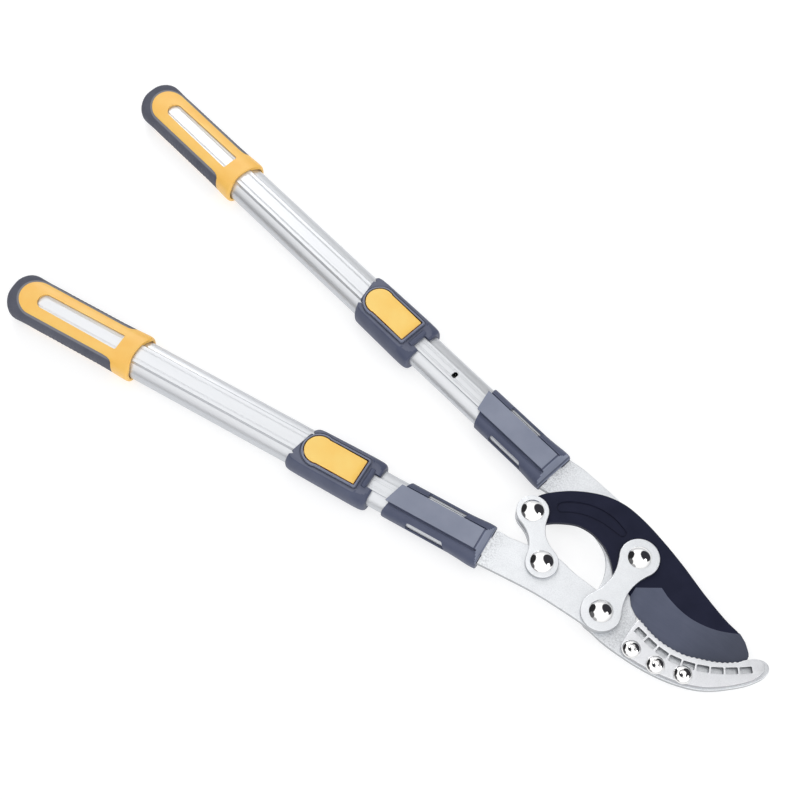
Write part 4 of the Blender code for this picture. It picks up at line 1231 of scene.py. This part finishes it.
    # lock housing, its rear end slanted the same way
    def leaning(sec):
        fade = max(0.0, 1.0 - (sec[0][0] - 247.8) / 20.0)
        return [(s + (5.0 - 0.27 * out * n) * fade, n, z) for s, n, z in sec]

    bm = bmesh.new()
    skin(bm, [leaning(q) for q in (
             shell_section(247.8, 17.7, 10.9, 11.3, -11.6), shell_section(248.0, 18.2, 11.2, 11.8, -12.1),
              shell_section(248.7, 18.8, 11.8, 12.3, -12.6), shell_section(250.0, 19.3, 12.6, 12.6, -13.0),
              shell_section(252.5, 19.8, 13.6, 12.7, -13.2), shell_section(260.0, 20.1, 14.4, 12.7, -13.3),
              shell_section(290.0, 20.6, 14.6, 12.7, -13.3), shell_section(307.2, 20.8, 14.6, 12.6, -13.3),
              shell_section(309.0, 20.8, 14.0, 12.3, -13.3), shell_section(310.4, 20.8, 12.6, 11.7, -13.3),
              shell_section(311.6, 20.8, 12.0, 11.4, -13.3), shell_section(315.0, 20.7, 11.6, 11.2, -13.2),
              shell_section(317.2, 20.4, 11.2, 10.9, -13.1), shell_section(318.7, 19.9, 10.7, 10.5, -12.8),
              shell_section(319.6, 19.2, 10.2, 9.9, -12.3), shell_section(320.0, 18.3, 9.6, 9.1, -11.6))])
    ob = tool(bm)
    well = dee(268.6, 12.2, 271.4, 307.1, 1.0)
    bore1, bore2 = bmesh.new(), bmesh.new()
    skin(bore1, [tube_section(240.0, OUTER, 0.3), tube_section(297.6, OUTER, 0.3)])
    skin(bore2, [tube_section(290.0, INNER, 0.3), tube_section(330.0, INNER, 0.3)])
    mouth = fillet([(315.2, -6.5), (330, -6.5), (330, 6.5), (315.2, 6.5)], [1.0, 0, 0, 1.0], 4)
    cuts = [tool(bore1), tool(bore2), prism(well, 5.0, 24.0), prism(clean(mouth), 5.0, 24.0),
            *(prism([(s - 12, n - 2.4), (s - 4.0, n - 2.2), (s - 0.8, n - 0.9), (s, n), (s - 0.8, n + 0.9),
                     (s - 4.0, n + 2.2), (s - 12, n + 2.4)], 4.0, 24.0)
              for s, n in ((252.6, 11.4 * out), (258.6, -11.0 * out))),
            tool(slab(dee(268.6, 15.1, 271.4, 309.6, 2.8), [dee(268.6, 13.8, 271.4, 308.6, 2.4)], 11.5, 18.0, r=0.3,
                      segs=2)),
            prism(circle(2.9, 32, 288, 0), -20.0, -11.9), prism(circle(1.5, 24, 288, 0), -20.0, -5.0)]
    pin = prism(circle(1.3, 20, 276.0, 12.6), -13.3, 13.3, stand=True)
    cuts.append(pin)
    boolean(ob, cuts)
    rounded(ob, [GREY, DECK_LIT], M, 0.35, 2, 40.0, name=P + "lock_housing_body")
    # painted light: the housing's up-facing top faces take the lighter grey
    paint(ob, DECK_LIT, 1, lambda c, n: n.z > 0.8 and c.z > 10.5)
    piece(ob, handle_body, P + "lock_housing")
    rim = slab(dee(268.6, 13.85, 271.4, 308.6, 2.4), [well], 11.9, 14.8, r=0.7, segs=4, hole_r=0.3)
    # painted light: the bezel ring takes the lighter copy of the grey plastic
    ob = to_object(rim, P + "lock_bezel", BEZEL_LIT, M)
    paint(ob, GAP, 1, lambda c, n: n.z < 0.7 and c.x < 307.6 and (
        (c.x > 268.6 and abs(c.y) < 12.7) or math.hypot(c.x - 268.6, c.y) < 12.7))
    piece(ob, handle_body)
    arch = prism([(311.0, 8.9), (311.2, 12.2), (311.8, 12.9), (312.6, 13.15), (313.6, 13.1), (314.5, 12.7), (315.0, 12.0),
                  (315.1, 9.3)], -8.4, 8.4, stand=True)
    rounded(arch, GREY, M, 0.9, 4, 60.0, name=P + "lock_arch")
    piece(arch, handle_body)

    # lock button
    bm = crowned(dee(268.6, 11.5, 271.4, 306.3, 0.9), 12.75, 15.1, 0.5, 0.30, (268.6, 292.0),
                 lambda x, y, z: 1.25 * min(1.0, max(0.0, (x - 303.6) / 2.7)))
    ob = to_object(bm, P + "lock_button_cap", ORANGE_BTN, M, 40.0)
    # painted shade: the button's side faces take the dark red-orange
    paint(ob, ORANGE_SIDE_SHADE, 1, lambda c, n: n.z < 0.62)
    piece(ob, button_body, P + "lock_button")

    # grip
    win = window_outline(0.0)
    bore = bmesh.new()
    skin(bore, [tube_section(-12.3, OUTER, 0.3), tube_section(130.0, OUTER, 0.3)])
    core = tool(grip_loft(False))
    boolean(core, [prism(band_outline(0.0), -22, 22)], "INTERSECT")
    scoop = prism(curve([(101.5, -19.0), (98.8, -13.0), (97.0, -6.5), (96.4, 0.0), (97.0, 6.5), (98.8, 13.0),
                         (101.5, 19.0)], 5) + [(110, 19), (110, -19)], 6.0, 24.0)
    mouth = bmesh.new()
    skin(mouth, [tube_section(97.6, OUTER, 0.25), tube_section(101.0, OUTER, 1.5)])
    boolean(core, [tool(bore), tool(mouth), prism(win, 2, 24), scoop])
    rounded(core, ORANGE, M, 0.6, 3, 42.0, name=P + "grip_frame")
    piece(core, handle_body, P + "grip_core")
    bore = bmesh.new()
    skin(bore, [tube_section(-12.3, OUTER, 0.3), tube_section(130.0, OUTER, 0.3)])
    cover = tool(grip_loft(True))
    boolean(cover, [prism(band_outline(0.12), -22, 22), tool(bore)])
    rounded(cover, RUBBER, M, 0.6, 3, 42.0, name=P + "grip_rubber")
    piece(cover, handle_body, P + "grip_cover")

    # parts that stay as they are in the CAD model
    dress(P + "guide_bush", NYLON, 0.2)
    for n in ("tang_rivet_1", "tang_rivet_2", "housing_screw", "button_pin", "lock_catch"):
        dress(P + n, STEEL, 0.12)
    dress(P + "button_spring", STEEL)

# ------------------------------------------------------------ stage, light
floor_mat = Nodes("pale_floor")
tone = floor_mat.ramp(floor_mat.noise(3.0, 3), [(0.3, (0.415, 0.417, 0.42)), (0.7, (0.435, 0.437, 0.44))])
FLOOR = floor_mat.done(tone, 0.9, 0.0, None, Specular_IOR_Level=0.0, Emission_Color=(1.0, 1.0, 1.0, 1.0),
                       Emission_Strength=0.66)
bm = bmesh.new()
bmesh.ops.create_circle(bm, cap_ends=True, segments=96, radius=9.0)
me = bpy.data.meshes.new("floor")
bm.to_mesh(me)
bm.free()
me.materials.append(FLOOR)
floor = bpy.data.objects.new("floor", me)
bpy.context.scene.collection.objects.link(floor)
floor.location = (0, 0, -0.0004)

scene = bpy.context.scene
scene.view_settings.view_transform = "Standard"
world = bpy.data.worlds.new("studio")
scene.world = world
world.use_nodes = True
wt = world.node_tree
bg = wt.nodes["Background"]
coord = wt.nodes.new("ShaderNodeTexCoord").outputs["Generated"]


def patch(direction, inner, outer):
    """1 inside a soft round patch of sky, 0 outside."""
    d = Vector(direction).normalized()
    dot = wt.nodes.new("ShaderNodeVectorMath")
    dot.operation = "DOT_PRODUCT"
    wt.links.new(coord, dot.inputs[0])
    dot.inputs[1].default_value = d
    m = wt.nodes.new("ShaderNodeMapRange")
    m.interpolation_type = "SMOOTHSTEP"
    m.inputs["From Min"].default_value = math.cos(math.radians(outer))
    m.inputs["From Max"].default_value = math.cos(math.radians(inner))
    wt.links.new(dot.outputs["Value"], m.inputs["Value"])
    return m.outputs["Result"]


def sky_direction(azimuth, elevation):
    a, e = math.radians(azimuth), math.radians(elevation)
    return (math.cos(a) * math.cos(e), math.sin(a) * math.cos(e), math.sin(e))


sep = wt.nodes.new("ShaderNodeSeparateXYZ")
wt.links.new(coord, sep.inputs[0])
ramp = wt.nodes.new("ShaderNodeValToRGB")
el_ = ramp.color_ramp.elements
el_[0].position, el_[0].color = 0.0, (0.42, 0.43, 0.45, 1)
el_[1].position, el_[1].color = 0.62, (1.0, 1.0, 1.0, 1)
wt.links.new(sep.outputs["Z"], ramp.inputs["Fac"])
colour = ramp.outputs["Color"]
for az_, el2, inner, outer, dark in ((66, 38, 32, 36, (0.03, 0.03, 0.035)), (188, 20, 27, 32, (0.02, 0.02, 0.022)),
                                    (230, 25, 17, 23, (0.10, 0.10, 0.105)), (266, 22, 12, 18, (0.34, 0.34, 0.35))):
    mix = wt.nodes.new("ShaderNodeMix")
    mix.data_type = "RGBA"
    wt.links.new(patch(sky_direction(az_, el2), inner, outer), mix.inputs[0])
    wt.links.new(colour, mix.inputs[6])
    mix.inputs[7].default_value = (*dark, 1)
    colour = mix.outputs[2]
wt.links.new(colour, bg.inputs["Color"])
bg.inputs["Strength"].default_value = 1.30


def area_light(name, at, aim, size, watts):
    data = bpy.data.lights.new(name, "AREA")
    data.shape = "DISK"
    data.size = size
    data.energy = watts
    ob = bpy.data.objects.new(name, data)
    bpy.context.scene.collection.objects.link(ob)
    ob.location = at
    ob.rotation_euler = (Vector(at) - Vector(aim)).to_track_quat("Z", "Y").to_euler()
    return ob


area_light("key", (-1.9, 1.5, 1.7), (0, 0, 0), 1.0, 12)
area_light("fill", (1.9, 0.9, 2.0), (0, 0, 0), 0.9, 6)
